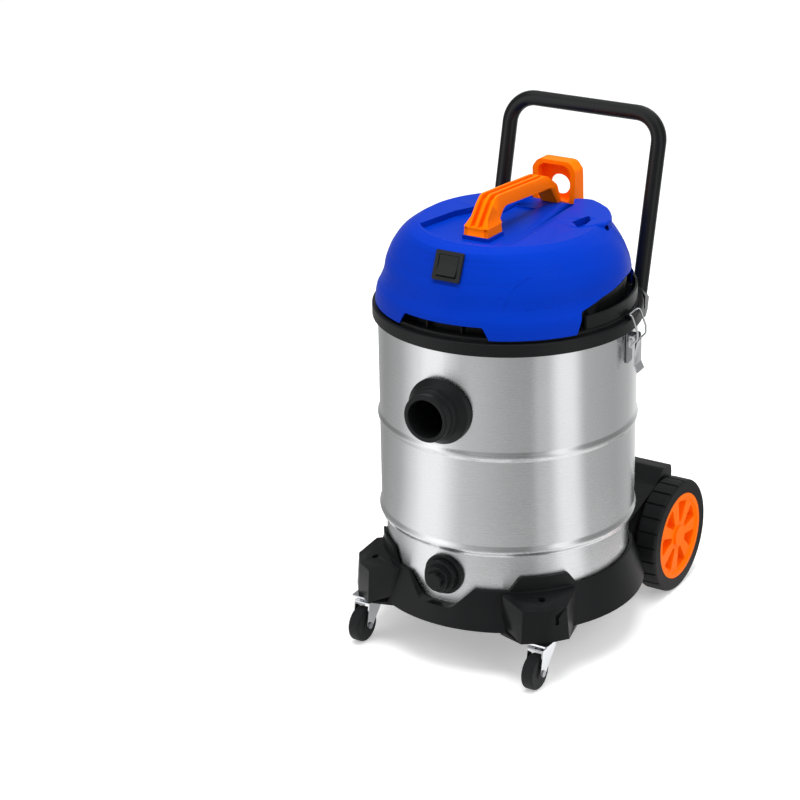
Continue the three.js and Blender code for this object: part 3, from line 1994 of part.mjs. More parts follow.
// The cord inlet at the back of the lid.
function makeGland() {
  const flangeY = bellyRadius + lid.wall / 2;
  const share = (gland.z - lid.waistZ) / (lid.bellyZ - lid.waistZ);
  const lidOut = waistRadius + (bellyRadius - waistRadius) * share;
  const drop = (gland.flangeRadius * (waistRadius - bellyRadius)) / (lid.bellyZ - lid.waistZ);
  const seatY = lidOut + drop + fit;
  const inY = flangeY - lid.wall * 3;
  const body = lathe(
    [
      [gland.boreRadius, inY],
      [gland.radius, inY],
      [gland.radius, seatY],
      [gland.flangeRadius, seatY],
      [gland.flangeRadius, seatY + gland.flangeThickness],
      [gland.radius, seatY + gland.flangeThickness],
      [gland.radius - gland.flangeThickness, seatY + gland.length],
      [gland.boreRadius, seatY + gland.length],
    ],
    midSides,
  );
  return body.rotateX(-Math.PI / 2).translate(0, 0, gland.z);
}

add("cord_gland", makeGland(), finish.black, upper);

// Carrying handle and cable hook

function makeCarryHandle() {
  const footFrontY = carry.footFront - crownRadius;
  const footBackY = carry.footBack - crownRadius;
  const legTopY = carry.legTop - crownRadius;
  const kneeY = carry.knee - crownRadius;
  const gripBackY = crownRadius - carry.gripBack;
  const backY = crownRadius - carry.back;
  const endY = crownRadius - carry.end;
  const innerBackY = crownRadius - carry.innerBack;
  const underBackY = crownRadius - carry.underBack;
  const underFrontY = carry.underFront - crownRadius;
  const innerLegY = carry.innerLeg - crownRadius;
  const side = rounded(
    [
      [footFrontY, 0, 0],
      [footFrontY, carry.footHeight, carry.footRound],
      [legTopY, carry.legTopZ],
      [kneeY, carry.gripTopZ],
      [gripBackY, carry.gripBackTopZ],
      [backY, carry.backZ],
      [endY, 0, 0],
      [innerBackY, 0, 0],
      [underBackY, carry.underBackZ, carry.footRound],
      [underFrontY, carry.underFrontZ],
      [innerLegY, carry.footHeight, carry.footRound],
      [footBackY, 0, 0],
    ],
    carry.bendRound,
  );
  const arch = slabX(side, -carry.halfWidth, carry.halfWidth);
  const foot = slabX(
    rounded(
      [
        [footFrontY, 0, 0],
        [footBackY, 0, 0],
        [footBackY - carry.footRound / 2, carry.footHeight],
        [footFrontY + carry.footRound / 2, carry.footHeight],
      ],
      carry.footRound / 2,
    ),
    -carry.footHalfWidth,
    carry.footHalfWidth,
  );
  const flare = slabY(
    [
      [-carry.footHalfWidth, carry.footHeight - fit],
      [carry.footHalfWidth, carry.footHeight - fit],
      [carry.halfWidth, carry.footHeight * 2],
      [-carry.halfWidth, carry.footHeight * 2],
    ],
    footFrontY,
    footBackY,
  );
  const d = carry.grooveDepth;
  const top = carry.gripTopZ + overrun;
  const grooveSide = rounded(
    [
      [footFrontY - overrun, carry.footHeight, 0],
      [footFrontY + d + carry.footRound, carry.footHeight, 0],
      [legTopY + d, carry.legTopZ - d / 2],
      [kneeY, carry.gripTopZ - d],
      [gripBackY, carry.gripBackTopZ - d],
      [gripBackY + d, top, 0],
      [footFrontY - overrun, top, 0],
    ],
    carry.bendRound,
  );
  const grooves = [
    slabX(grooveSide, carry.grooveInner, carry.grooveOuter),
    slabX(grooveSide, -carry.grooveOuter, -carry.grooveInner),
  ];
  const legSide = slabX(side, -carry.footHalfWidth, carry.footHalfWidth);
  return cut(join(arch, foot, shared(flare, legSide)), ...grooves);
}

function makeHook() {
  const frontY = crownRadius + hook.front;
  const backY = crownRadius + hook.back;
  const backTopY = crownRadius + hook.backTop;
  const webY = crownRadius + hook.web;
  const frame = (inset, top, foot) =>
    rounded(
      [
        [-hook.footHalfWidth + inset, foot, hook.foot],
        [hook.footHalfWidth - inset, foot, hook.foot],
        [hook.halfWidth - inset, hook.hipZ],
        [hook.halfWidth - inset, hook.shoulderZ],
        [hook.topHalfWidth - inset, hook.topZ - top],
        [-hook.topHalfWidth + inset, hook.topZ - top],
        [-hook.halfWidth + inset, hook.shoulderZ],
        [-hook.halfWidth + inset, hook.hipZ],
      ],
      hook.cornerRound,
    );
  const solid = slabY(frame(0, 0, 0), frontY, backY);
  const room = frame(hook.side, hook.top, hook.foot);
  const frontRoom = slabY(room, frontY - overrun, webY);
  const backRoom = slabY(room, webY + hook.webThickness, backY + overrun);
  const rake = slabX(
    [
      [backY, -fit],
      [backY + overrun, -fit],
      [backY + overrun, hook.topZ + fit],
      [backTopY, hook.topZ + fit],
    ],
    -hook.halfWidth - overrun,
    hook.halfWidth + overrun,
  );
  const eye = new THREE.CylinderGeometry(1, 1, backY - frontY, midSides)
    .scale(hook.eyeHalfWidth, 1, hook.eyeHalfHeight)
    .translate(0, (frontY + backY) / 2, hook.eyeZ);
  return cut(solid, frontRoom, backRoom, rake, eye);
}

add("carry_handle", makeCarryHandle(), finish.orange, handleFrame);
add("cable_hook", makeHook(), finish.orange, handleFrame);

// Switch, in its own leaning frame
const switchGroup = new THREE.Group();
switchGroup.applyMatrix4(switchFrame);
upper.add(switchGroup);

function makeBezel() {
  const back = -rocker.recessDepth + fit;
  const plate = slabZ(
    plateOutline(rocker.bezelHalfX, rocker.bezelHalfY, rocker.bezelRound),
    back,
    rocker.bezelProud,
  );
  const body = block(
    -rocker.bodyHalfX,
    rocker.bodyHalfX,
    -rocker.bodyHalfY,
    rocker.bodyHalfY,
    -rocker.bodyDepth,
    back + fit,
  );
  const well = block(
    -rocker.wellHalfX,
    rocker.wellHalfX,
    -rocker.wellHalfY,
    rocker.wellHalfY,
    -rocker.wellDepth,
    overrun,
  );
  return cut(join(plate, body), well);
}

// The rocker, drawn level and tipped to its off side about its own pivot.
function makeButton() {
  const halfY = rocker.wellHalfY - rocker.gap;
  const proud = rocker.bezelProud + rocker.buttonProud;
  const side = [
    [-halfY, -rocker.buttonBottom],
    [halfY, -rocker.buttonBottom],
    [halfY, proud],
    [0, proud - rocker.buttonCrown],
    [-halfY, proud],
  ];
  const halfX = rocker.wellHalfX - rocker.gap;
  const level = slabX(side, -halfX, halfX).translate(0, 0, rocker.pivotDepth);
  return level.rotateX(-radians(rocker.swing)).translate(0, 0, -rocker.pivotDepth);
}

add("switch_bezel", makeBezel(), finish.switchBlack, switchGroup);
add("switch_rocker", makeButton(), finish.switchBlack, switchGroup);

// Motor

function makeMotorBody() {
  const wall = motor.fanWall;
  const bore = motor.shaftRadius + motor.shaftGap;
  const body = lathe(
    [
      [motor.intakeRadius, 0],
      [motor.fanRadius, 0],
      [motor.fanRadius, motor.fanHeight],
      [motor.coilRadius, motor.fanHeight],
      [motor.coilRadius, motor.coilTopZ],
      [motor.capRadius, motor.coilTopZ],
      [motor.capRadius, motor.capTopZ],
      [bore, motor.capTopZ],
      [bore, motor.fanHeight - wall],
      [motor.fanRadius - wall, motor.fanHeight - wall],
      [motor.fanRadius - wall, wall],
      [motor.intakeRadius, wall],
    ],
    midSides,
  );
  const windows = Array.from({ length: motor.windowCount }, (_, i) => {
    const window = block(
      -motor.windowHalf,
      motor.windowHalf,
      -motor.fanRadius - overrun,
      -motor.coilRadius,
      motor.windowBottomZ,
      motor.windowTopZ,
    );
    return turned(window, ((i + 0.5) * 360) / motor.windowCount);
  });
  return cut(body, ...windows);
}

// The fan wheel on its shaft: a disc that carries swept blades.
function makeRotor() {
  const shaft = bar(
    [0, 0, motor.shaftBottomZ],
    [0, 0, motor.shaftTopZ],
    motor.shaftRadius,
    smallSides,
  );
  const top = motor.bladeDiscZ + motor.bladeDiscThickness;
  const disc = lathe(
    [
      [0, motor.bladeDiscZ],
      [motor.bladeRadius, motor.bladeDiscZ],
      [motor.bladeRadius, top],
      [0, top],
    ],
    midSides,
  );
  const hub = lathe(
    [
      [0, motor.bladeDiscZ - motor.bladeHeight],
      [motor.hubRadius, motor.bladeDiscZ - motor.bladeHeight],
      [motor.hubRadius, motor.bladeDiscZ + fit],
      [0, motor.bladeDiscZ + fit],
    ],
    smallSides,
  );
  const blades = Array.from({ length: motor.bladeCount }, (_, i) => {
    const steps = 2;
    const line = Array.from({ length: steps + 1 }, (_, k) => {
      const share = k / steps;
      const r = motor.bladeInner + (motor.bladeRadius - fit - motor.bladeInner) * share;
      const turn = radians((i * 360) / motor.bladeCount + motor.bladeSweep * share);
      return [r * Math.cos(turn), r * Math.sin(turn), turn];
    });
    const half = motor.bladeThickness / 2;
    const left = line.map(([x, y, turn]) => [x - half * Math.sin(turn), y + half * Math.cos(turn)]);
    const right = line.map(([x, y, turn]) => [x + half * Math.sin(turn), y - half * Math.cos(turn)]);
    return slabZ(
      [...left, ...right.reverse()],
      motor.bladeDiscZ - motor.bladeHeight,
      motor.bladeDiscZ + fit,
    );
  });
  return join(shaft, disc, hub, ...blades);
}

// A flat ring between two radii and two heights.
function washer(inner, outer, low, high) {
  return lathe(
    [
      [inner, low],
      [outer, low],
      [outer, high],
      [inner, high],
    ],
    midSides,
  );
}

// The clamp that presses the motor down: a ring with ears on the head's bosses.
function makeClamp() {
  const low = head.bossTopZ + fit;
  const high = low + motor.clampThickness;
  const ring = washer(motor.clampInner, motor.fanRadius, low, high);
  const ears = Array.from({ length: head.bossCount }, (_, i) => {
    const ear = block(
      -motor.clampEarHalf,
      motor.clampEarHalf,
      -head.bossOut - head.bossRadius,
      -motor.clampInner - motor.clampThickness,
      low,
      high,
    );
    return turned(ear, (i * 360) / head.bossCount);
  });
  return join(ring, ...ears);
}

add("motor_body", makeMotorBody(), finish.zinc, motorFrame);
add("motor_rotor", makeRotor(), finish.copper, motorFrame);
add(
  "motor_seal_lower",
  washer(motor.sealInner, motor.sealOuter, motorSeatZ + fit, fanFloorZ - fit),
  finish.rubber,
  upper,
);
add(
  "motor_seal_upper",
  washer(motor.upperSealInner, motor.sealOuter, fanFloorZ + motor.fanHeight + fit, head.bossTopZ),
  finish.rubber,
  upper,
);
add("motor_clamp", makeClamp(), finish.zinc, upper);

// Float cage and filter

function makeCage() {
  const r = screen.cageRadius;
  const wall = screen.cageWall;
  const shell = lathe(
    [
      [0, -screen.cageDepth],
      [r, -screen.cageDepth],
      [r, -fit - wall],
      [r + screen.cageLip, -fit - wall],
      [r + screen.cageLip, -fit],
      [screen.seatRadius, -fit],
      [screen.seatRadius, -fit - wall],
      [r - wall, -fit - wall],
      [r - wall, -screen.cageDepth + wall],
      [0, -screen.cageDepth + wall],
    ],
    midSides,
  );
  const windows = Array.from({ length: screen.windowCount }, (_, i) => {
    const window = block(
      -screen.windowHalf,
      screen.windowHalf,
      -r - overrun,
      -r / 2,
      -screen.windowLowDepth,
      -screen.windowHighDepth,
    );
    return turned(window, (i * 360) / screen.windowCount);
  });
  return cut(shell, ...windows);
}

// The filter: a pleated cone, closed below and open to the head.
function makeFilter() {
  const count = screen.pleatCount;
  const topZ = -screen.ringDepth + fit * 3;
  const ring = (radius, z) =>
    Array.from({ length: count * 2 }, (_, i) => {
      const r = radius - (i % 2 ? screen.pleatDepth : 0);
      const turn = (i * Math.PI) / count;
      return new THREE.Vector3(r * Math.cos(turn), r * Math.sin(turn), z);
    });
  const wall = screen.filterWall;
  const outer = loft([
    ring(screen.filterBottomRadius, -screen.filterDepth),
    ring(screen.filterTopRadius, topZ),
  ]);
  const inner = loft([
    ring(screen.filterBottomRadius - wall, -screen.filterDepth + wall),
    ring(screen.filterTopRadius - wall + fit, topZ + fit),
  ]);
  return cut(outer, inner);
}

// A solid through rings of points that match one to one, closed by a fan at each end.
function loft(rings) {
  const count = rings[0].length;
  const triangles = [];
  const push3 = (...points) => points.forEach((p) => triangles.push(p.x, p.y, p.z));
  const centreOf = (points) =>
    points.reduce((sum, p) => sum.add(p), new THREE.Vector3()).divideScalar(points.length);
  rings.slice(1).forEach((upper, k) => {
    const lower = rings[k];
    for (let i = 0; i < count; i += 1) {
      const j = (i + 1) % count;
      push3(lower[i], lower[j], upper[j]);
      push3(lower[i], upper[j], upper[i]);
    }
  });
  const first = centreOf(rings[0]);
  const last = centreOf(rings.at(-1));
  for (let i = 0; i < count; i += 1) {
    const j = (i + 1) % count;
    push3(rings[0][j], rings[0][i], first);
    push3(rings.at(-1)[i], rings.at(-1)[j], last);
  }
  const geometry = new THREE.BufferGeometry();
  geometry.setAttribute("position", new THREE.Float32BufferAttribute(triangles, 3));
  return geometry;
}

// The filter's rubber ring, which grips the head's cup.
function makeFilterRing() {
  const cup = head.cupRadius + fit;
  const mouth = screen.filterTopRadius + fit * 4;
  const low = -screen.ringDepth;
  return lathe(
    [
      [screen.ringLip, low + fit * 4],
      [mouth, low + fit * 4],
      [mouth, low],
      [screen.ringOuter, low],
      [screen.ringOuter, screen.ringRise],
      [cup, screen.ringRise],
      [cup, -fit],
      [screen.ringLip, -fit],
    ],
    wheel.sides,
  );
}

add("float_cage", makeCage(), finish.black, screenFrame);
add(
  "float_ball",
  new THREE.SphereGeometry(screen.ballRadius, midSides, smallSides)
    .rotateX(Math.PI / 2)
    .translate(0, 0, screen.cageWall + fit + screen.ballRadius - screen.cageDepth),
  finish.ball,
  screenFrame,
);
add("filter_element", makeFilter(), finish.filterWhite, screenFrame);
add("filter_ring", makeFilterRing(), finish.rubber, screenFrame);

// The origin is at the middle of the machine's footprint, on the floor
const frontMost = -tank.radius - inlet.mouthOut;
const rearMost = axleY + wheel.radius;
machine.position.y = -(frontMost + rearMost) / 2;

export default machine;
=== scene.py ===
"""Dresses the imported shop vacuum: fine surfaces, finishes, light and camera.

Sizes are in millimetres in the drum's own frame, with the drum's axis at x = y = 0, the floor at
z = 0, the front towards -Y and the right side towards +X. A bench carries each finished piece into
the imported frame's metres.
"""

from __future__ import annotations

import logging
import math
from collections.abc import Callable, Iterable, Sequence
from dataclasses import dataclass, field
from enum import Enum

import bmesh
import bpy
from mathutils import Matrix, Vector


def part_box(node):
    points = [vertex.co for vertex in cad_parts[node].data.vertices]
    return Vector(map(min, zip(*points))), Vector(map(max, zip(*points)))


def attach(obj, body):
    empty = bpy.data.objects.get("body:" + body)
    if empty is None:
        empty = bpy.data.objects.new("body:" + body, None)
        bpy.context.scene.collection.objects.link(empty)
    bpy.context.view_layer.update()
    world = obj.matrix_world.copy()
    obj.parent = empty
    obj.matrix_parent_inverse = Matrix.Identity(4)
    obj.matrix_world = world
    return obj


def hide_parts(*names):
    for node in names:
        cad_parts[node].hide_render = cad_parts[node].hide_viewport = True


LOG = logging.getLogger("shop_vacuum")
METRES = 0.001
# The gap between pieces that fit together, and how far a cutter runs past what it opens
FIT = 0.3
OVERRUN = 20.0
# Facets round a solid, by its size
FINE = 160
MIDDLE = 72
SMALL = 32

Outline = list[tuple[float, float]]
Mesh = bpy.types.Mesh
Object = bpy.types.Object
Material = bpy.types.Material


class Way(Enum):
    """How one solid meets another."""

    CUT = "DIFFERENCE"
    JOIN = "UNION"
    SHARE = "INTERSECT"


class Side(Enum):
    """The machine's two sides, as factors on x."""

    RIGHT = 1
    LEFT = -1

    @property
    def word(self) -> str:
        """The side's name as the frame's nodes have it."""
        return self.name.lower()

    def copy(self, mesh: Mesh) -> Mesh:
        """A copy of a right-hand mesh for this side."""
        return mesh.copy() if self is Side.RIGHT else mirrored(mesh)


class Plane(Enum):
    """The plane that an outline is drawn in, as the matrix that takes it there."""

    LEVEL = ((1, 0, 0), (0, 1, 0), (0, 0, 1))
    SIDE = ((0, 0, 1), (1, 0, 0), (0, 1, 0))
    FRONT = ((1, 0, 0), (0, 0, 1), (0, 1, 0))

    @property
    def matrix(self) -> Matrix:
        """The turn from the outline's own axes to the machine's."""
        return Matrix(self.value).to_4x4()


# Solids


def mesh_from(bm: bmesh.types.BMesh) -> Mesh:
    """Closes a bmesh into a mesh with its faces outwards.

    Args:
        bm: The bmesh, which is freed.

    Returns:
        The new mesh.
    """
    bmesh.ops.recalc_face_normals(bm, faces=bm.faces)
    mesh = bpy.data.meshes.new("solid")
    bm.to_mesh(mesh)
    bm.free()
    return mesh


def revolve(profile: Sequence[tuple[float, float]], sides: int = FINE) -> Mesh:
    """Turns a closed outline about the upright axis.

    Args:
        profile: Points of (radius, height) round the section.
        sides: Facets round the axis.

    Returns:
        The round solid.
    """
    bm = bmesh.new()
    rings = []
    for radius, height in profile:
        count = sides if radius > 1e-6 else 1
        turns = [math.tau * i / sides for i in range(count)]
        rings.append(
            [bm.verts.new((radius * math.sin(t), -radius * math.cos(t), height)) for t in turns]
        )
    for first, second in zip(rings, rings[1:] + rings[:1]):
        if len(first) == 1 and len(second) == 1:
            continue
        for i in range(sides):
            j = (i + 1) % sides
            corners = [first[i % len(first)], first[j % len(first)]]
            corners += [second[j % len(second)], second[i % len(second)]]
            bm.faces.new(list(dict.fromkeys(corners)))
    return mesh_from(bm)


def prism(
    outline: Sequence[tuple[float, float]], low: float, high: float, plane: Plane = Plane.LEVEL
) -> Mesh:
    """Makes an outline solid between two places along its normal.

    Args:
        outline: Points round the section.
        low: Where the solid starts.
        high: Where it ends.
        plane: The plane that the outline is drawn in.

    Returns:
        The solid.
    """
    bm = bmesh.new()
    rings = [[bm.verts.new((a, b, h)) for a, b in outline] for h in (low, high)]
    bm.faces.new(rings[0])
    bm.faces.new(rings[1])
    for i in range(len(outline)):
        j = (i + 1) % len(outline)
        bm.faces.new((rings[0][i], rings[0][j], rings[1][j], rings[1][i]))
    bm.transform(plane.matrix)
    return mesh_from(bm)


def round_wall(
    inner: float, outer: float, low: float, high: float, sides: int = FINE
) -> Mesh:
    """Makes an upright round wall, or a full round where its inner radius is 0.

    Args:
        inner: Its inner radius.
        outer: Its outer radius.
        low: The height of its foot.
        high: The height of its top.
        sides: Facets round the axis.

    Returns:
        The solid.
    """
    return revolve([(inner, low), (outer, low), (outer, high), (inner, high)], sides)


def rectangle(across: tuple[float, float], along: tuple[float, float]) -> Outline:
    """The corners of a rectangle from its reach both ways."""
    (left, right), (low, high) = across, along
    return [(left, low), (right, low), (right, high), (left, high)]


def slab(
    points: Sequence[Sequence[float]],
    radius: float,
    low: float,
    high: float,
    plane: Plane = Plane.LEVEL,
) -> Mesh:
    """Rounds an outline's corners and makes it solid between two places.

    Args:
        points: Corners, as rounded() takes them.
        radius: The radius of the corners that have none of their own.
        low: Where the solid starts.
        high: Where it ends.
        plane: The plane that the outline is drawn in.

    Returns:
        The solid.
    """
    return prism(rounded(points, radius), low, high, plane)


def block(x: tuple[float, float], y: tuple[float, float], z: tuple[float, float]) -> Mesh:
    """Makes a block.

    Args:
        x: Its reach along X.
        y: Its reach along Y.
        z: Its reach along Z.

    Returns:
        The block.
    """
    return prism(rectangle(x, y), *z)


def sweep(stations: Sequence[Vector], radius: float, sides: int = SMALL) -> Mesh:
    """Carries a circle along a path.

    Args:
        stations: The path's points.
        radius: The circle's radius.
        sides: Facets round the path.

    Returns:
        The bar.
    """
    bm = bmesh.new()
    last = len(stations) - 1
    rings = []
    across = None
    for i, place in enumerate(stations):
        along = (stations[min(i + 1, last)] - stations[max(i - 1, 0)]).normalized()
        if across is None:
            across = along.orthogonal().normalized()
        across = (across - along * across.dot(along)).normalized()
        other = along.cross(across)
        turns = [math.tau * k / sides for k in range(sides)]
        rings.append(
            [
                bm.verts.new(place + radius * (math.cos(t) * across + math.sin(t) * other))
                for t in turns
            ]
        )
    for first, second in zip(rings, rings[1:]):
        for i in range(sides):
            j = (i + 1) % sides
            bm.faces.new((first[i], first[j], second[j], second[i]))
    bm.faces.new(rings[0])
    bm.faces.new(rings[-1])
    return mesh_from(bm)


def rod(
    start: Sequence[float], end: Sequence[float], radius: float, sides: int = SMALL
) -> Mesh:
    """Makes a straight round bar.

    Args:
        start: One end of its axis.
        end: The other end.
        radius: Its radius.
        sides: Facets round it.

    Returns:
        The bar.
    """
    return sweep([Vector(start), Vector(end)], radius, sides)


def hull(points: Iterable[Sequence[float]]) -> Mesh:
    """Makes the smallest convex solid round some points.

    Args:
        points: The points.

    Returns:
        The solid.
    """
    bm = bmesh.new()
    for point in points:
        bm.verts.new(point)
    found = bmesh.ops.convex_hull(bm, input=bm.verts)
    loose = {v for v in found["geom_interior"] if isinstance(v, bmesh.types.BMVert)}
    bmesh.ops.delete(bm, geom=list(loose), context="VERTS")
    flat = math.radians(0.5)
    bmesh.ops.dissolve_limit(bm, angle_limit=flat, verts=bm.verts, edges=bm.edges)
    return mesh_from(bm)


def circle(x: float, y: float, z: float, radius: float, sides: int = MIDDLE) -> list[Vector]:
    """Places points round a level circle.

    Args:
        x: The centre's x.
        y: The centre's y.
        z: The circle's height.
        radius: Its radius.
        sides: How many points.

    Returns:
        The points.
    """
    turns = [math.tau * i / sides for i in range(sides)]
    return [Vector((x + radius * math.cos(t), y + radius * math.sin(t), z)) for t in turns]


def rounded(points: Sequence[Sequence[float]], radius: float, steps: int = 6) -> Outline:
    """Rounds an outline's corners with arcs.

    Args:
        points: Corners as (a, b), or (a, b, radius) where a corner has its own radius.
        radius: The radius of the other corners.
        steps: Steps in each arc.

    Returns:
        The rounded outline.
    """
    out: Outline = []
    for i, corner in enumerate(points):
        at = Vector(corner[:2])
        back = Vector(points[i - 1][:2]) - at
        ahead = Vector(points[(i + 1) % len(points)][:2]) - at
        own = corner[2] if len(corner) > 2 else radius
        half = back.angle(ahead) / 2
        reach = min(own / math.tan(half), back.length / 2, ahead.length / 2)
        if reach < 1e-4 or half > math.radians(89.5):
            out.append((at.x, at.y))
            continue
        bend = reach * math.tan(half)
        centre = at + (back.normalized() + ahead.normalized()).normalized() * bend / math.sin(half)
        start = at + back.normalized() * reach - centre
        end = at + ahead.normalized() * reach - centre
        sweep_angle = start.angle_signed(end)
        for k in range(steps + 1):
            turn = Matrix.Rotation(-sweep_angle * k / steps, 2)
            place = centre + turn @ start
            out.append((place.x, place.y))
    return out


def bent(corners: Sequence[Sequence[float]], radius: float, steps: int = 8) -> list[Vector]:
    """Bends a path's corners to a radius.

    Args:
        corners: The path's corners.
        radius: The bends' radius.
        steps: Steps in each bend.

    Returns:
        The path's points.
    """
    points = [Vector(corner) for corner in corners]
    path = [points[0]]
    for before, at, after in zip(points, points[1:], points[2:]):
        back = (before - at).normalized()
        ahead = (after - at).normalized()
        half = back.angle(ahead) / 2
        reach = min(radius / math.tan(half), (before - at).length / 2, (after - at).length / 2)
        bend = reach * math.tan(half)
        centre = at + (back + ahead).normalized() * bend / math.sin(half)
        start = (at + back * reach - centre).normalized()
        end = (at + ahead * reach - centre).normalized()
        for k in range(steps + 1):
            path.append(centre + start.slerp(end, k / steps) * bend)
    path.append(points[-1])
    return path


def moved(mesh: Mesh, matrix: Matrix) -> Mesh:
    """Moves a mesh in place, and keeps its faces outwards where the move mirrors it.

    Args:
        mesh: The mesh.
        matrix: The move.

    Returns:
        The same mesh.
    """
    mesh.transform(matrix)
    if matrix.determinant() < 0:
        mesh.flip_normals()
    return mesh


def turned(mesh: Mesh, degrees: float, axis: str = "Z") -> Mesh:
    """Turns a mesh about one of the machine's axes.

    Args:
        mesh: The mesh.
        degrees: The turn.
        axis: The axis's letter.

    Returns:
        The same mesh.
    """
    return moved(mesh, Matrix.Rotation(math.radians(degrees), 4, axis))


def shifted(mesh: Mesh, x: float = 0, y: float = 0, z: float = 0) -> Mesh:
    """Shifts a mesh.

    Args:
        mesh: The mesh.
        x: The shift along X.
        y: The shift along Y.
        z: The shift along Z.

    Returns:
        The same mesh.
    """
    return moved(mesh, Matrix.Translation((x, y, z)))


def mirrored(mesh: Mesh) -> Mesh:
    """A copy of a mesh, mirrored from side to side."""
    return moved(mesh.copy(), Matrix.Scale(-1, 4, (1, 0, 0)))


def facing_front(mesh: Mesh, z: float) -> Mesh:
    """Lays a round solid's axis out to the front at height z."""
    return shifted(turned(mesh, 90, "X"), z=z)


def facing_side(mesh: Mesh, y: float, z: float) -> Mesh:
    """Lays a round solid's axis out to the right through y and z."""
    return shifted(turned(mesh, 90, "Y"), y=y, z=z)


def placed(data: bpy.types.ID, name: str = "work") -> Object:
    """Puts a mesh, lamp or camera on the scene as an object."""
    obj = bpy.data.objects.new(name, data)
    bpy.context.scene.collection.objects.link(obj)
    return obj


def settled(obj: Object) -> Mesh:
    """Applies an object's modifiers and takes the object away.

    Args:
        obj: The passing object.

    Returns:
        The mesh with its modifiers applied.
    """
    depsgraph = bpy.context.evaluated_depsgraph_get()
    mesh = bpy.data.meshes.new_from_object(obj.evaluated_get(depsgraph), depsgraph=depsgraph)
    bpy.data.objects.remove(obj)
    return mesh


def combine(mesh: Mesh, tools: Sequence[Mesh], way: Way) -> Mesh:
    """Joins solids to a solid, cuts them from it, or keeps what they share.

    Args:
        mesh: The first solid.
        tools: The others.
        way: What to do with them.

    Returns:
        The new solid.
    """
    base = placed(mesh)
    helpers = [placed(tool) for tool in tools]
    for helper in helpers:
        step = base.modifiers.new("combine", "BOOLEAN")
        step.operation = way.value
        step.solver = "MANIFOLD"
        step.object = helper
    result = settled(base)
    for helper in helpers:
        bpy.data.objects.remove(helper)
    return result


def cut(mesh: Mesh, *tools: Mesh) -> Mesh:
    """The first solid without the others."""
    return combine(mesh, tools, Way.CUT)


def join(mesh: Mesh, *others: Mesh) -> Mesh:
    """All the solids as one."""
    return combine(mesh, others, Way.JOIN)


def shared(mesh: Mesh, other: Mesh) -> Mesh:
    """What two solids share."""
    return combine(mesh, [other], Way.SHARE)


def smooth_line(points: Sequence[tuple[float, float]], steps: int = 5) -> Outline:
    """Draws a smooth line through some points.

    Args:
        points: The points, in order.
        steps: Steps between one and the next.

    Returns:
        The line's points.
    """
    line = [Vector(p) for p in points]
    ends = [line[0] * 2 - line[1], *line, line[-1] * 2 - line[-2]]
    out: Outline = []
    for a, b, c, d in zip(ends, ends[1:], ends[2:], ends[3:]):
        for k in range(steps):
            t = k / steps
            place = 0.5 * (
                2 * b
                + (c - a) * t
                + (2 * a - 5 * b + 4 * c - d) * t**2
                + (3 * b - a - 3 * c + d) * t**3
            )
            out.append((place.x, place.y))
    out.append(tuple(line[-1]))
    return out


# Finishes


def linear(hex_colour: str) -> tuple[float, float, float, float]:
    """Turns an sRGB hex colour to the linear colour that a shader takes.

    Args:
        hex_colour: Six hex digits after a hash sign.

    Returns:
        Linear red, green, blue and a full alpha.
    """
    parts = [int(hex_colour[i : i + 2], 16) / 255 for i in (1, 3, 5)]
    flat = [c / 12.92 if c <= 0.04045 else ((c + 0.055) / 1.055) ** 2.4 for c in parts]
    return (*flat, 1.0)


def add_node(
    tree: bpy.types.NodeTree,
    kind: str,
    settings: dict[str | int, object] | None = None,
    links: dict[str | int, bpy.types.NodeSocket] | None = None,
) -> bpy.types.Node:
    """Adds a node with its settings and links.

    Args:
        tree: The material's node tree.
        kind: The node's type.
        settings: Values for its own settings and for its inputs, by name or number.
        links: Sockets that feed its inputs, by name or number.

    Returns:
        The node.
    """
    node = tree.nodes.new(kind)
    for key, value in (settings or {}).items():
        if isinstance(key, str) and hasattr(node, key):
            setattr(node, key, value)
        else:
            node.inputs[key].default_value = value
    for key, socket in (links or {}).items():
        tree.links.new(socket, node.inputs[key])
    return node


def new_material(name: str) -> tuple[Material, bpy.types.NodeTree]:
    """Starts an empty material.

    Args:
        name: The material's name.

    Returns:
        The material and its node tree.
    """
    material = bpy.data.materials.new(name)
    material.use_nodes = True
    material.node_tree.nodes.clear()
    return material, material.node_tree


@dataclass(frozen=True)
class Surface:
    """What every finish shares: two close colours in faint clouds, under a fine grain."""

    name: str
    colour: str
    shade: str
    roughness: float

    def skin(
        self,
        tree: bpy.types.NodeTree,
        cloud: bpy.types.Node,
        grain: bpy.types.Node,
        uneven: bpy.types.Node,
        relief: float,
    ) -> dict[str, bpy.types.NodeSocket]:
        """Works out the colour, roughness and relief of the surface.

        Args:
            tree: The material's node tree.
            cloud: The pattern that the colours lie in.
            grain: The pattern of the relief.
            uneven: The pattern that the roughness follows.
            relief: The strength of the relief.

        Returns:
            The sockets that feed the shader, by its inputs' names.
        """
        colour = add_node(
            tree,
            "ShaderNodeMix",
            {"data_type": "RGBA", 6: linear(self.colour), 7: linear(self.shade)},
            {0: cloud.outputs["Fac"]},
        )
        polish = add_node(
            tree,
            "ShaderNodeMapRange",
            {3: self.roughness - self.spread, 4: self.roughness + self.spread},
            {0: uneven.outputs["Fac"]},
        )
        bump = add_node(
            tree,
            "ShaderNodeBump",
            {"Strength": relief, "Distance": self.grain_depth_mm * METRES},
            {"Height": grain.outputs["Fac"]},
        )
        return {
            "Base Color": colour.outputs[2],
            "Roughness": polish.outputs[0],
            "Normal": bump.outputs["Normal"],
        }


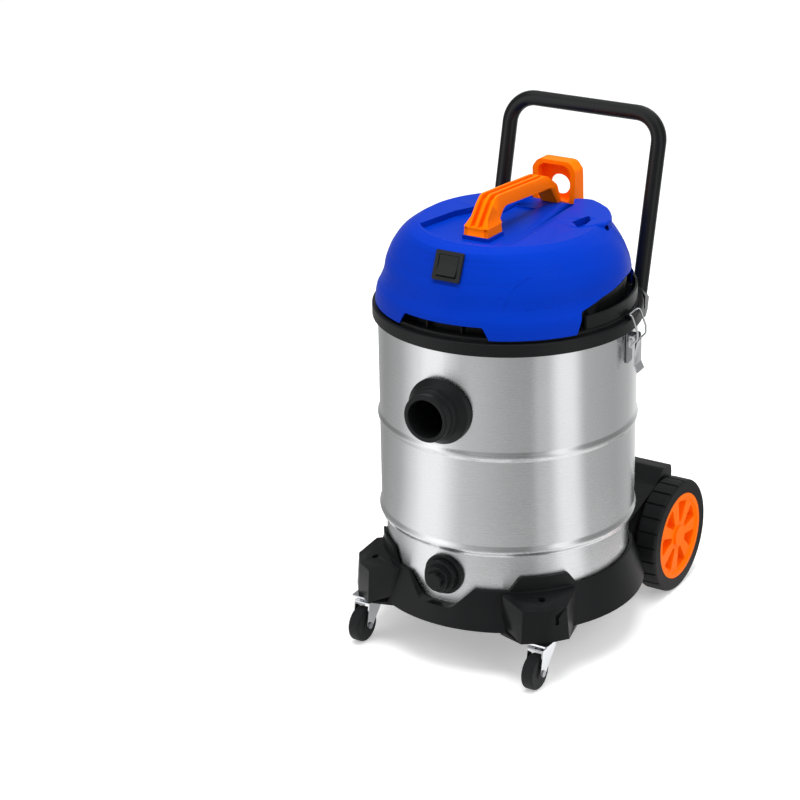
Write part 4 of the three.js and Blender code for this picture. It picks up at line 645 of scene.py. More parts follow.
@dataclass(frozen=True)
class Moulded(Surface):
    """Injection-moulded plastic: one colour with a faint cast, and a fine spark-eroded grain."""

    grain_mm: float = 1.1
    grain_depth_mm: float = 0.012
    gloss: float = 0.5
    ior: float = 1.5
    cloud_mm: float = 90
    spread: float = 0.05

    def material(self) -> Material:
        """Builds the plastic's nodes."""
        material, tree = new_material(self.name)
        place = add_node(tree, "ShaderNodeTexCoord").outputs["Object"]
        cloud, grain = (
            add_node(
                tree,
                "ShaderNodeTexNoise",
                {"Scale": 1 / (size * METRES), "Detail": detail},
                {"Vector": place},
            )
            for size, detail in ((self.cloud_mm, 3.0), (self.grain_mm, 2.0))
        )
        shader = add_node(
            tree,
            "ShaderNodeBsdfPrincipled",
            {"IOR": self.ior, "Specular IOR Level": self.gloss},
            self.skin(tree, cloud, grain, cloud, 0.5),
        )
        add_node(tree, "ShaderNodeOutputMaterial", links={"Surface": shader.outputs["BSDF"]})
        return material


@dataclass(frozen=True)
class Metal(Surface):
    """Bare or plated metal: a grain drawn out along one axis, and faint clouds in its polish."""

    spread: float
    grain_mm: tuple[float, float, float]
    grain_depth_mm: float = 0.004
    drawn: float = 0.0
    cloud_mm: float = 60

    def material(self) -> Material:
        """Builds the metal's nodes."""
        material, tree = new_material(self.name)
        place = add_node(tree, "ShaderNodeTexCoord").outputs["Object"]
        drawn = add_node(
            tree,
            "ShaderNodeMapping",
            {"Scale": tuple(1 / (mm * METRES) for mm in self.grain_mm)},
            {"Vector": place},
        )
        grain, cloud = (
            add_node(tree, "ShaderNodeTexNoise", {"Scale": scale, "Detail": detail}, {"Vector": at})
            for scale, detail, at in (
                (1.0, 3.0, drawn.outputs["Vector"]),
                (1 / (self.cloud_mm * METRES), 2.0, place),
            )
        )
        along = add_node(tree, "ShaderNodeTangent", {"direction_type": "RADIAL", "axis": "Z"})
        shader = add_node(
            tree,
            "ShaderNodeBsdfPrincipled",
            {"Metallic": 1.0, "Anisotropic": self.drawn, "Anisotropic Rotation": 0.25},
            {
                **self.skin(tree, cloud, grain, grain, 0.4),
                "Tangent": along.outputs["Tangent"],
            },
        )
        add_node(tree, "ShaderNodeOutputMaterial", links={"Surface": shader.outputs["BSDF"]})
        return material


class Finish(Enum):
    """The machine's finishes, each with what its surface is made of."""

    # Polypropylene with a fine eroded grain: near black, with soft wide highlights
    BLACK = Moulded("moulded_polypropylene_black", "#101112", "#161718", 0.36, gloss=0.16)
    # ABS with a satin mould face: deep clear blue that keeps its colour in highlights
    BLUE = Moulded("moulded_abs_blue", "#002EA4", "#0233AE", 0.36, gloss=0.035)
    # ABS in signal orange, a little glossier than the blue
    ORANGE = Moulded("moulded_abs_orange", "#FF6E00", "#FF7602", 0.36, gloss=0.03)
    # Nylon of the switch, satin
    SWITCH = Moulded("moulded_nylon_switch", "#1A1B1B", "#202121", 0.38, gloss=0.15)
    # Rubber of tyres and seals: dull, with a coarse bloom
    RUBBER = Moulded("moulded_rubber", "#131415", "#191A1B", 0.62, 1.6, 0.03, gloss=0.2)
    # Powder coat on the push handle: near black with a slight orange peel
    COATED = Moulded("powder_coated_tube", "#0E0F10", "#131415", 0.3, 2.2, 0.02, gloss=0.25)
    # Stainless sheet, cold rolled: its grain runs round the drum, so that what it mirrors is drawn
    # out up and down into soft light and dark bands
    STAINLESS = Metal(
        "rolled_stainless_sheet", "#D2D3D4", "#DADBDC", 0.27, 0.015, (40, 40, 0.8), 0.002, drawn=0.9
    )
    # Bright chrome plate on pressed steel
    CHROME = Metal("chrome_plate", "#DDDEE0", "#CFD1D4", 0.1, 0.03, (8, 8, 8))
    # Zinc plate on bolts, pins and axles
    ZINC = Metal("zinc_plate", "#A9ABAE", "#94969A", 0.34, 0.06, (3, 3, 3))
    # Cast aluminium of the motor
    CAST = Metal("cast_aluminium", "#9C9EA1", "#85878B", 0.46, 0.08, (2, 2, 2), 0.03)
    # Polyethylene of the float
    FLOAT = Moulded("moulded_polyethylene", "#E6E1D2", "#DDD7C5", 0.45)
    # Filter paper, a felt of fibres with no gloss
    PAPER = Moulded("pleated_filter_paper", "#F1F0EC", "#E6E4DE", 0.85, 0.8, 0.05)


# The bench


@dataclass
class Bench:
    """Rounds, places and dresses each piece, and keeps the finishes already made."""

    centre_y: float
    made: dict[Finish, Material] = field(default_factory=dict)

    def coat(self, finish: Finish) -> Material:
        """The finish's material, built once."""
        if finish not in self.made:
            self.made[finish] = finish.value.material()
        return self.made[finish]

    def dress(self, node: str, finish: Finish) -> None:
        """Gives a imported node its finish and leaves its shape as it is.

        Args:
            node: The node's name.
            finish: Its finish.
        """
        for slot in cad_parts[node].material_slots:
            slot.material = self.coat(finish)
        LOG.info("dressed %s", node)

    def piece(
        self,
        name: str,
        mesh: Mesh,
        finish: Finish,
        body: str,
        replaces: Sequence[str] = (),
        edge: float = 0.0,
        keen: float = 35.0,
    ) -> Object:
        """Finishes a solid as a piece of the machine.

        Args:
            name: The piece's name.
            mesh: Its solid, in drum millimetres.
            finish: Its finish.
            body: The body that it rides on.
            replaces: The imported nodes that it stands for.
            edge: The radius that its sharp edges are rounded to, or 0.
            keen: The least angle, in degrees, of an edge that counts as sharp.

        Returns:
            The piece.
        """
        if edge:
            work = placed(mesh)
            step = work.modifiers.new("edge", "BEVEL")
            step.width = edge
            step.segments = 3
            step.limit_method = "ANGLE"
            step.angle_limit = math.radians(keen)
            step.miter_outer = "MITER_ARC"
            mesh = settled(work)
        mesh.shade_smooth()
        mesh.set_sharp_from_angle(angle=math.radians(keen))
        work = placed(mesh)
        weigh = work.modifiers.new("weigh", "WEIGHTED_NORMAL")
        weigh.keep_sharp = True
        weigh.weight = 80
        mesh = settled(work)
        place = Matrix.Translation((0, self.centre_y, 0)) @ Matrix.Scale(METRES, 4)
        mesh.transform(place)
        mesh.name = name
        mesh.materials.clear()
        mesh.materials.append(self.coat(finish))
        obj = placed(mesh, name)
        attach(obj, body)
        if replaces:
            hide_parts(*replaces)
        LOG.info("made %s on %s", name, body)
        return obj


# Sub-assemblies


@dataclass
class Drum:
    """The stainless drum: a narrow foot, a step, two rolled beads and an open top."""

    radius: float = 180
    wall: float = 1
    foot_radius: float = 173
    foot_corner: float = 9
    floor_z: float = 88
    top_z: float = 484
    bead_rise: float = 8
    bead_depth: float = 3
    mid_bead_z: float = 326
    low_bead_z: float = 187
    step_z: float = 175.8
    inlet_z: float = 386
    inlet_hole: float = 31.2
    drain_z: float = 141
    drain_hole: float = 16.2
    tool_top_z: float = 760

    def bead(self, z: float, steps: int = 10) -> Outline:
        """The outer line over a rolled bead.

        Args:
            z: The bead's middle.
            steps: Steps over the bead.

        Returns:
            Points from its lower edge to its upper one.
        """
        shares = [-1 + 2 * k / steps for k in range(steps + 1)]
        return [
            (
                self.radius + self.bead_depth * (1 + math.cos(math.pi * s)) / 2,
                z + s * self.bead_rise,
            )
            for s in shares
        ]

    def outside(self) -> Outline:
        """The sheet's outer line from the floor's rim to the top edge."""
        inner = self.foot_radius - self.foot_corner
        corner = [
            (
                inner + self.foot_corner * math.sin(t),
                self.floor_z + self.foot_corner * (1 - math.cos(t)),
            )
            for t in (math.pi / 2 * k / 8 for k in range(9))
        ]
        low = self.bead(self.low_bead_z)
        step_rise = self.low_bead_z - self.bead_rise - self.step_z
        step = [
            (
                self.foot_radius + (self.radius - self.foot_radius) * (1 - math.cos(t)) / 2,
                self.step_z + step_rise * t / math.pi,
            )
            for t in (math.pi * k / 8 for k in range(8))
        ]
        return [*corner, *step, *low, *self.bead(self.mid_bead_z), (self.radius, self.top_z)]

    def shell(self) -> Mesh:
        """The drum with the holes of the inlet and the drain."""
        outer = self.outside()
        corner = self.foot_radius - self.foot_corner
        inner = [
            (r - self.wall if r > corner + self.wall else r, max(z, self.floor_z + self.wall))
            for r, z in outer
        ]
        sheet = revolve([(0, self.floor_z), *outer, *inner[::-1], (0, self.floor_z + self.wall)])
        holes = ((self.inlet_z, self.inlet_hole), (self.drain_z, self.drain_hole))
        reach = -self.radius - OVERRUN
        return cut(sheet, *(rod((0, reach, z), (0, 0, z), radius) for z, radius in holes))

    def build(self, bench: Bench) -> None:
        """Makes the drum."""
        bench.piece("drum_shell", self.shell(), Finish.STAINLESS, "chassis", ["tank_drum"])

    def tool(self, gap: float, foot: bool = False) -> Mesh:
        """The drum's outside as a cutter.

        Args:
            gap: How much larger it is than the drum.
            foot: Whether it has the foot's radius.

        Returns:
            The cutter.
        """
        radius = (self.foot_radius if foot else self.radius) + gap
        return round_wall(0, radius, 0, self.tool_top_z)


@dataclass
class PushHandle:
    """The black tube that the machine is pushed by, with a bolt through each foot."""

    tube_radius: float = 11
    half_width: float = 120
    bar_y: float = 223
    bar_z: float = 711.7
    lean: float = 0.237
    bend: float = 38
    foot_z: float = 441

    def leg_y(self, z: float) -> float:
        """Where a leg's centre lies at a height."""
        return self.bar_y - self.lean * (self.bar_z - z)

    def build(self, bench: Bench) -> None:
        """Makes the tube and dresses its bolts."""
        foot = (self.half_width, self.leg_y(self.foot_z), self.foot_z)
        top = (self.half_width, self.bar_y, self.bar_z)
        corners = [(-foot[0], *foot[1:]), (-top[0], *top[1:]), top, foot]
        tube = sweep(bent(corners, self.bend, 16), self.tube_radius, 40)
        bench.piece("handle_tube", tube, Finish.COATED, "chassis", ["push_handle"])
        for side in Side:
            bench.dress(f"handle_bolt_{side.word}", Finish.ZINC)


@dataclass
class Band:
    """The black band on the drum's edge, with a fairing and a socket for each handle leg."""

    drum: Drum
    handle: PushHandle
    outer_radius: float = 187.6
    inner_radius: float = 174
    bottom_z: float = 471.7
    top_z: float = 489.3
    edge: float = 2
    ear_depth: float = 2.5
    ear_degrees: range = range(122, 159, 3)
    belly_z: float = 445
    belly_wall: float = 3.6
    mouth_wall: float = 2
    mouth_fall: float = 14
    socket_floor: float = 5
    socket_top_z: float = 475

    def ear(self) -> Mesh:
        """The swelling under the band's edge that takes in the handle's foot."""
        tube, x = self.handle.tube_radius, self.handle.half_width
        low = self.handle.foot_z - self.socket_floor
        points = circle(x, self.handle.leg_y(low), low, tube + FIT + self.mouth_wall)
        points += circle(x, self.handle.leg_y(self.belly_z), self.belly_z, tube + self.belly_wall)
        y, mouth = self.handle.leg_y(self.socket_top_z), tube + self.mouth_wall
        outward = Vector((x, y)).normalized()
        for place in circle(x, y, self.socket_top_z, mouth):
            out = (place.xy - Vector((x, y))).dot(outward) / mouth
            points.append(place - Vector((0, 0, self.mouth_fall * (1 + out) / 2)))
        for degrees in self.ear_degrees:
            turn, radius = math.radians(degrees), self.outer_radius + self.ear_depth
            place = (radius * math.sin(turn), -radius * math.cos(turn))
            points += [Vector((*place, self.bottom_z)), Vector((*place, self.top_z))]
        return hull(points)

    def solid(self) -> Mesh:
        """The whole band."""
        lip = self.drum.radius + FIT
        in_lip = self.drum.radius - self.drum.wall - FIT
        crest = self.drum.top_z + FIT
        band = revolve(
            rounded(
                [
                    (lip, self.bottom_z, 0.6),
                    (self.outer_radius, self.bottom_z, 1.2),
                    (self.outer_radius, self.top_z),
                    (self.inner_radius, self.top_z, 1),
                    (self.inner_radius, self.bottom_z, 0.5),
                    (in_lip, self.bottom_z, 0.5),
                    (in_lip, crest, 0.1),
                    (lip, crest, 0.1),
                ],
                self.edge,
            )
        )
        inside = self.outer_radius - self.edge
        top = self.top_z + OVERRUN
        room = round_wall(0, inside, 0, top)
        ear = cut(self.ear(), room)
        whole = join(band, ear, mirrored(ear))
        foot_z = self.handle.foot_z - FIT
        sockets = []
        for side in Side:
            x = side.value * self.handle.half_width
            low = (x, self.handle.leg_y(foot_z), foot_z)
            high = (x, self.handle.leg_y(top), top)
            sockets.append(rod(low, high, self.handle.tube_radius + FIT, MIDDLE))
        return cut(whole, *sockets)

    def build(self, bench: Bench) -> None:
        """Makes the band."""
        bench.piece("drum_band", self.solid(), Finish.BLACK, "chassis", ["rim_ring"], 0.8)


@dataclass
class Base:
    """The wheeled base: a flared skirt, two pods over the casters and a rear housing."""

    drum: Drum
    wall: float = 4
    top_z: float = 126
    bottom_z: float = 72
    top_radius: float = 179
    bottom_radius: float = 197
    pocket_gap: float = 1.5
    floor_thickness: float = 4
    shed_z: float = 170
    collar_top_z: float = 146
    collar_thickness: float = 4
    collar_angle: float = 46.4
    collar_round: float = 9
    collar_half: float = 52
    collar_top_half: float = 34
    notch_half: float = 54
    notch_x: float = -9
    notch_bottom_half: float = 26
    notch_bottom_z: float = 97
    notch_round: float = 20
    rib_count: int = 8
    rib_inner: float = 40
    rib_thickness: float = 3
    pod_angle: float = 43.6
    pod_face: float = 216
    pod_face_half: float = 34
    slot_width: float = 5
    slot_height: float = 14
    slot_depth: float = 3
    slot_across: float = 14
    pod_nose: float = 6
    pod_side: float = 182
    pod_side_half: float = 54
    pod_root: float = 158
    pod_bottom_z: float = 66
    pod_face_top_z: float = 114
    pod_side_top_z: float = 124
    pod_draft: float = 3
    hole_radius: float = 5
    hole_out: float = 196
    hole_depth: float = 8
    rear_half: float = 141
    hump_inner: float = 68
    back_y: float = 250
    back_top_y: float = 243
    rear_front_y: float = 70
    rear_mid_y: float = 190
    rear_top_z: float = 180
    rear_mid_z: float = 162
    rear_low_z: float = 127
    bridge_z: float = 150
    rear_round: float = 9
    wheel_y: float = 202.6
    wheel_radius: float = 85
    hollow_gap: float = 6

    def skirt_radius(self, z: float) -> float:
        """The skirt's outer radius at a height."""
        share = (z - self.bottom_z) / (self.top_z - self.bottom_z)
        return self.bottom_radius + (self.top_radius - self.bottom_radius) * share

    def pod(self) -> Mesh:
        """One front pod with its sloping roof."""
        d = self.pod_draft
        low, face_top, side_top = self.pod_bottom_z, self.pod_face_top_z, self.pod_side_top_z
        corners: list[tuple[float, float, float]] = []
        for s in (1, -1):
            corners += [
                (self.pod_root, s * self.pod_side_half, low),
                (self.pod_side, s * self.pod_side_half, low),
                (self.pod_face, s * self.pod_face_half, low),
                (self.pod_root, s * (self.pod_side_half - d), side_top),
                (self.pod_side, s * (self.pod_side_half - d), side_top),
                (self.pod_face - d, s * (self.pod_face_half - d), face_top),
            ]
        corners.append((self.pod_face + self.pod_nose, 0, low))
        corners.append((self.pod_face + self.pod_nose - d, 0, face_top))
        floor = self.pod_face_top_z - self.hole_depth
        out, top = self.hole_out, side_top + OVERRUN
        drop = rod((out, 0, floor), (out, 0, top), self.hole_radius)
        middle = (low + face_top) / 2
        slot = block(
            (self.pod_face - self.slot_depth, self.pod_face + OVERRUN),
            (self.slot_across, self.slot_across + self.slot_width),
            (middle, middle + self.slot_height),
        )
        return turned(cut(hull(corners), drop, slot), self.pod_angle - 90)

    def collar(self) -> Mesh:
        """The raised collar behind a pod."""
        inner = self.drum.foot_radius + self.pocket_gap
        outer = inner + self.collar_thickness
        low = self.top_z - self.wall
        ring = round_wall(inner, outer, low, self.collar_top_z)
        outline = rounded(
            [
                (-self.collar_half, low, 0),
                (self.collar_half, low, 0),
                (self.collar_top_half, self.collar_top_z + FIT, self.collar_round),
                (-self.collar_top_half, self.collar_top_z + FIT, self.collar_round),
            ],
            5,
        )
        window = prism(outline, inner - 2 * OVERRUN, outer + OVERRUN, Plane.SIDE)
        return shared(ring, turned(window, self.collar_angle - 90))

    def side_line(self, top: float, slope: float) -> Outline:
        """The housing's side view.

        Args:
            top: The height of its top.
            slope: Where its front slope starts.

        Returns:
            The rounded outline of (y, z).
        """
        return rounded(
            [
                (self.rear_front_y, self.bottom_z, 0),
                (self.back_y, self.bottom_z, 0),
                (self.back_top_y, top),
                ((self.rear_mid_y + self.back_top_y) / 2, top),
                (self.rear_mid_y, slope),
                (self.rear_front_y, self.rear_low_z, 0),
            ],
            self.rear_round,
        )

    def housing(self) -> Mesh:
        """The rear housing: two humps beside a lower bridge."""
        hump = prism(
            self.side_line(self.rear_top_z, self.rear_mid_z),
            self.hump_inner,
            self.rear_half,
            Plane.SIDE,
        )
        inner = self.hump_inner + FIT
        line = self.side_line(self.bridge_z, self.bridge_z - self.wall)
        return join(hump, prism(line, -inner, inner, Plane.SIDE), mirrored(hump))

    def solid(self) -> Mesh:
        """The whole base."""
        pocket = self.drum.foot_radius + self.pocket_gap
        floor_top = self.drum.floor_z - FIT
        under = floor_top - self.floor_thickness
        dish = revolve(
            [
                (0, under),
                (self.skirt_radius(under) - self.wall, under),
                (self.bottom_radius - self.wall, self.bottom_z),
                (self.bottom_radius, self.bottom_z),
                (self.top_radius, self.top_z),
                (pocket, self.top_z),
                (pocket, floor_top),
                (0, floor_top),
            ]
        )
        pod, collar = self.pod(), self.collar()
        half = self.rib_thickness / 2
        ribs = [
            turned(
                block(
                    (self.rib_inner, pocket),
                    (-half, half),
                    (self.bottom_z + self.wall / 2, floor_top),
                ),
                (i + 0.5) * 360 / self.rib_count,
            )
            for i in range(self.rib_count)
        ]
        whole = join(dish, self.housing(), pod, mirrored(pod), collar, mirrored(collar), *ribs)
        wide = self.drum.radius + self.drum.bead_depth + self.pocket_gap
        high = self.rear_top_z + OVERRUN
        well = revolve(
            [
                (0, floor_top),
                (pocket, floor_top),
                (pocket, self.shed_z),
                (wide, self.shed_z + self.wall),
                (wide, high),
                (0, high),
            ]
        )
        notch = slab(
            [
                (-self.notch_half - OVERRUN, self.top_z + OVERRUN, 0),
                (-self.notch_half, self.top_z, 6),
                (-self.notch_bottom_half, self.notch_bottom_z),
                (self.notch_bottom_half, self.notch_bottom_z),
                (self.notch_half, self.top_z, 6),
                (self.notch_half + OVERRUN, self.top_z + OVERRUN, 0),
            ],
            self.notch_round,
            -self.bottom_radius - OVERRUN,
            -self.drum.foot_radius / 2,
            Plane.FRONT,
        )
        reach = self.bottom_radius + OVERRUN
        arch_radius = self.wheel_radius + self.wall
        arch = round_wall(0, arch_radius, self.rear_half + FIT, reach)
        arch = facing_side(arch, self.wheel_y, self.wheel_radius)
        inner = self.rear_half - 2 * self.wall
        top = self.bridge_z - 2 * self.wall
        near, under_z = wide + self.hollow_gap, self.bottom_z - OVERRUN
        hollow = prism(
            [
                (near, under_z),
                (self.back_y - self.wall, under_z),
                (self.back_top_y - self.wall, top),
                (near, top),
            ],
            -inner,
            inner,
            Plane.SIDE,
        )
        notch = shifted(notch, self.notch_x)
        return cut(whole, well, notch, arch, mirrored(arch), hollow)

    def build(self, bench: Bench) -> None:
        """Makes the base."""
        bench.piece("wheeled_base", self.solid(), Finish.BLACK, "chassis", ["base_tray"], 1.6)


@dataclass
class RearWheel:
    """A rear wheel: a grooved tyre on an orange hub with tapered pockets."""

    y: float = 202.6
    radius: float = 84.96
    axle_z: float = 85
    inner_x: float = 144
    outer_x: float = 178
    hub_radius: float = 65
    shoulder: float = 5
    groove_count: int = 24
    groove_depth: float = 2.5
    groove_width: float = 4
    pocket_count: int = 7
    pocket_inner: float = 21
    pocket_outer: float = 53
    pocket_inner_half: float = 3.5
    pocket_outer_half: float = 14
    pocket_round: float = 3
    pocket_depth: float = 11
    rim_lip: float = 6
    face_inset: float = 3
    web: float = 4
    boss_radius: float = 15
    axle_radius: float = 6.35
    bore_start_x: float = 139
    bore_end_x: float = 168.3

    def tyre(self) -> Mesh:
        """The tyre with a groove across its tread at each step."""
        outline = rounded(
            [
                (self.hub_radius + FIT, self.inner_x, 0.4),
                (self.radius, self.inner_x),
                (self.radius, self.outer_x),
                (self.hub_radius + FIT, self.outer_x, 0.4),
            ],
            self.shoulder,
            8,
        )
        ring = revolve(outline, 192)
        depth, half = self.groove_depth, self.groove_width / 2
        low = self.radius - depth
        groove = prism(
            [(-half, self.radius + 1), (-half / 2, low), (half / 2, low), (half, self.radius + 1)],
            self.inner_x - 1,
            self.outer_x + 1,
        )
        groove = moved(groove, Matrix(((0, 0, 1), (1, 0, 0), (0, 1, 0))).to_4x4())
        # The groove lies across the tread at the wheel's top, and is turned round its axle.
        grooves = []
        for i in range(self.groove_count):
            copy = groove.copy()
            turn = Matrix.Rotation(math.tau * (i + 0.5) / self.groove_count, 4, "X")
            grooves.append(moved(copy, turn))
        laid = turned(ring, 90, "Y")
        return shifted(cut(laid, *grooves), y=self.y, z=self.axle_z)

    def hub(self) -> Mesh:
        """The hub with its pockets and boss."""
        face = self.outer_x - self.face_inset
        back = face - self.pocket_depth - self.web
        rim = self.hub_radius - self.rim_lip
        disc = revolve(
            [
                (0, back),
                (rim, back),
                (rim, self.inner_x),
                (self.hub_radius, self.inner_x),
                (self.hub_radius, self.outer_x),
                (rim, self.outer_x),
                (rim - self.face_inset, face),
                (0, face),
            ]
        )
        boss = round_wall(0, self.boss_radius, self.inner_x, self.outer_x, MIDDLE)
        bore = rod((0, 0, self.bore_start_x), (0, 0, self.bore_end_x), self.axle_radius)
        pockets = []
        for i in range(self.pocket_count):
            outline = rounded(
                [
                    (-self.pocket_inner_half, self.pocket_inner),
                    (self.pocket_inner_half, self.pocket_inner),
                    (self.pocket_outer_half, self.pocket_outer),
                    (-self.pocket_outer_half, self.pocket_outer),
                ],
                self.pocket_round,
            )
            pocket = prism(outline, face - self.pocket_depth, face + OVERRUN)
            pockets.append(turned(pocket, 180 + 360 * i / self.pocket_count))
        return facing_side(cut(join(disc, boss), bore, *pockets), self.y, self.axle_z)

    def build(self, bench: Bench) -> None:
        """Makes both wheels and dresses their axle and spacers."""
        tyre, hub = self.tyre(), self.hub()
        bench.dress("rear_axle", Finish.ZINC)
        for side in Side:
            word = side.word
            for name, mesh, finish, edge in (
                ("tyre", tyre, Finish.RUBBER, 0.5),
                ("hub", hub, Finish.ORANGE, 0.9),
            ):
                piece, node = f"{name}_{word}", f"wheel_{name}_{word}"
                bench.piece(piece, side.copy(mesh), finish, f"wheel_{word}", [node], edge)
            bench.dress(f"wheel_spacer_{word}", Finish.ZINC)


@dataclass
class Caster:
    """A swivel caster: plate and race, pressed fork, wheel and axle."""

    x: float = 141
    y: float = -152
    trail: float = 19
    wheel_radius: float = 25
    wheel_half: float = 9
    tread_round: float = 4
    hub_radius: float = 9
    hub_proud: float = 1.5
    axle_radius: float = 3
    axle_play: float = 0.2
    fork_top_z: float = 59
    fork_thickness: float = 2
    fork_half: float = 13
    fork_rear: float = 19
    fork_front: float = 17
    fork_tip: float = 7
    race_radius: float = 14
    plate_half: float = 18
    plate_round: float = 3
    plate_top_z: float = 65.7
    plate_thickness: float = 2.5
    kingpin_radius: float = 5
    kingpin_top_z: float = 92

    def plate(self) -> Mesh:
        """The mounting plate, race and kingpin."""
        h, under = self.plate_half, self.plate_top_z - self.plate_thickness
        plate = slab(rectangle((-h, h), (-h, h)), self.plate_round, under, self.plate_top_z)
        race = revolve(
            [
                (0, self.fork_top_z + FIT),
                (self.race_radius - 2, self.fork_top_z + FIT),
                (self.race_radius, (self.fork_top_z + under) / 2),
                (self.race_radius - 1, under + FIT),
                (0, under + FIT),
            ],
            MIDDLE,
        )
        pin = rod((0, 0, under), (0, 0, self.kingpin_top_z), self.kingpin_radius)
        return shifted(join(plate, race, pin), self.x, self.y)

    def fork(self) -> Mesh:
        """The pressed fork: a crown and two cheeks that taper to the axle."""
        crown = self.fork_top_z - self.fork_thickness
        low = self.wheel_radius - self.fork_tip / 2
        cheek = rounded(
            [
                (-self.trail - self.fork_tip, low, self.fork_tip),
                (-self.trail + self.fork_tip, low, self.fork_tip),
                (self.fork_front, crown - 2 * self.fork_thickness, self.fork_tip),
                (self.fork_front, self.fork_top_z, 0),
                (-self.fork_rear, self.fork_top_z, 0),
            ],
            0,
            8,
        )
        half = self.fork_half
        outer = prism(cheek, -half, half, Plane.SIDE)
        room_half = half - self.fork_thickness
        reach = 3 * OVERRUN
        room = block((-room_half, room_half), (-reach, reach), (-OVERRUN, crown))
        bore = rod(
            (-half - 5, -self.trail, self.wheel_radius),
            (half + 5, -self.trail, self.wheel_radius),
            self.axle_radius + self.axle_play,
        )
        return shifted(cut(outer, room, bore), self.x, self.y)

    def wheel(self) -> Mesh:
        """The wheel with its round tread and hub."""
        half, hub = self.wheel_half, self.wheel_half + self.hub_proud
        bore = self.axle_radius + self.axle_play
        outline = rounded(
            [
                (bore, -hub, 0.3),
                (self.hub_radius, -hub, 0.8),
                (self.hub_radius, -half, 0.5),
                (self.wheel_radius, -half),
                (self.wheel_radius, half),
                (self.hub_radius, half, 0.5),
                (self.hub_radius, hub, 0.8),
                (bore, hub, 0.3),
            ],
            self.tread_round,
        )
        laid = facing_side(revolve(outline, 96), self.y - self.trail, self.wheel_radius)
        return shifted(laid, x=self.x)

    def build(self, bench: Bench) -> None:
        """Makes both casters."""
        plate, fork, wheel = self.plate(), self.fork(), self.wheel()
        for side in Side:
            word = side.word
            for name, mesh, finish, body, node, edge in (
                ("plate", plate, Finish.CHROME, "chassis", "caster_plate", 0.5),
                ("fork", fork, Finish.CHROME, f"caster_{word}", "caster_fork", 0.6),
                ("roller", wheel, Finish.RUBBER, f"caster_roller_{word}", "caster_wheel", 0.0),
            ):
                piece = f"caster_{name}_{word}_fine"
                bench.piece(piece, side.copy(mesh), finish, body, [f"{node}_{word}"], edge)
            bench.dress(f"caster_axle_{word}", Finish.ZINC)


@dataclass
class Ports:
    """The hose inlet and the drain with its cap."""

    drum: Drum
    saddle_depth: float = 9
    mouth_y: float = 219.5
    bore: float = 26.5
    neck: float = 30
    neck_end: float = 162
    flange: float = 46.5
    flange_y: float = 187
    cone: float = 38
    cone_y: float = 196
    collar: float = 36
    collar_y: float = 206
    lip: float = 33.5
    gasket: float = 1.6
    drain_bore: float = 12
    drain_neck: float = 15
    drain_end: float = 160
    spout_y: float = 195
    drain_flange: float = 29
    drain_flange_y: float = 180
    seal: float = 2
    cap_bore: float = 15.6
    cap: float = 24
    cap_step_y: float = 190
    cap_mid: float = 18.5
    cap_mid_y: float = 198
    cap_tip: float = 12.5
    cap_tip_y: float = 205
    grip_count: int = 6
    grip_radius: float = 1.6

    def inlet(self) -> Mesh:
        """The stepped inlet with its saddle cut to the drum."""
        back = self.drum.radius - self.saddle_depth
        outline = rounded(
            [
                (self.bore, back, 0),
                (self.flange, back, 0),
                (self.flange, self.flange_y, 2),
                (self.cone, self.cone_y, 1.5),
                (self.collar, self.cone_y + 1, 0.8),
                (self.collar, self.collar_y, 1.6),
                (self.lip, self.collar_y + 1.6, 0.8),
                (self.lip, self.mouth_y, 2.4),
                (self.bore, self.mouth_y, 1.4),
            ],
            1.5,
        )
        body = facing_front(revolve(outline), self.drum.inlet_z)
        neck = round_wall(self.bore, self.neck, self.neck_end, self.flange_y)
        neck = facing_front(neck, self.drum.inlet_z)
        return join(cut(body, self.drum.tool(self.gasket + 2 * FIT)), neck)

    def drain(self) -> Mesh:
        """The drain's flange and spout."""
        back = self.drum.foot_radius - self.saddle_depth
        outline = rounded(
            [
                (self.drain_bore, back, 0),
                (self.drain_flange, back, 0),
                (self.drain_flange, self.drain_flange_y, 2),
                (self.drain_bore, self.drain_flange_y, 0),
            ],
            1,
        )
        flange = facing_front(revolve(outline), self.drum.drain_z)
        spout = round_wall(self.drain_bore, self.drain_neck, self.drain_end, self.spout_y)
        spout = facing_front(spout, self.drum.drain_z)
        return join(cut(flange, self.drum.tool(FIT, foot=True)), spout)

    def cap_solid(self) -> Mesh:
        """The stepped drain cap with the grip round its tip."""
        start = self.drain_flange_y + self.seal + 2 * FIT
        outline = rounded(
            [
                (self.cap_bore, start, 0),
                (self.cap, start, 0.8),
                (self.cap, self.cap_step_y, 2.2),
                (self.cap_mid, self.cap_step_y, 0.8),
                (self.cap_mid, self.cap_mid_y, 1.2),
                (self.cap_tip, self.cap_mid_y, 0.8),
                (self.cap_tip, self.cap_tip_y, 2),
                (0, self.cap_tip_y, 0),
                (0, self.spout_y + FIT, 0),
                (self.cap_bore, self.spout_y + FIT, 0.5),
            ],
            1,
        )
        body = facing_front(revolve(outline), self.drum.drain_z)
        grips = []
        for i in range(self.grip_count):
            turn = math.tau * i / self.grip_count
            x = self.cap_tip * math.cos(turn)
            z = self.drum.drain_z + self.cap_tip * math.sin(turn)
            far = (x, -self.cap_tip_y - OVERRUN, z)
            grips.append(rod((x, -self.cap_mid_y, z), far, self.grip_radius))
        return cut(body, *grips)

    def build(self, bench: Bench) -> None:
        """Makes both ports."""
        bench.piece("hose_inlet", self.inlet(), Finish.BLACK, "chassis", ["inlet_port"])
        bench.piece("drain_spout", self.drain(), Finish.BLACK, "chassis", ["drain_port"])
        bench.piece("drain_plug", self.cap_solid(), Finish.BLACK, "drain_plug", ["drain_cap"])
        bench.dress("inlet_nut", Finish.BLACK)
        bench.dress("inlet_gasket", Finish.RUBBER)
        bench.dress("drain_seal", Finish.RUBBER)


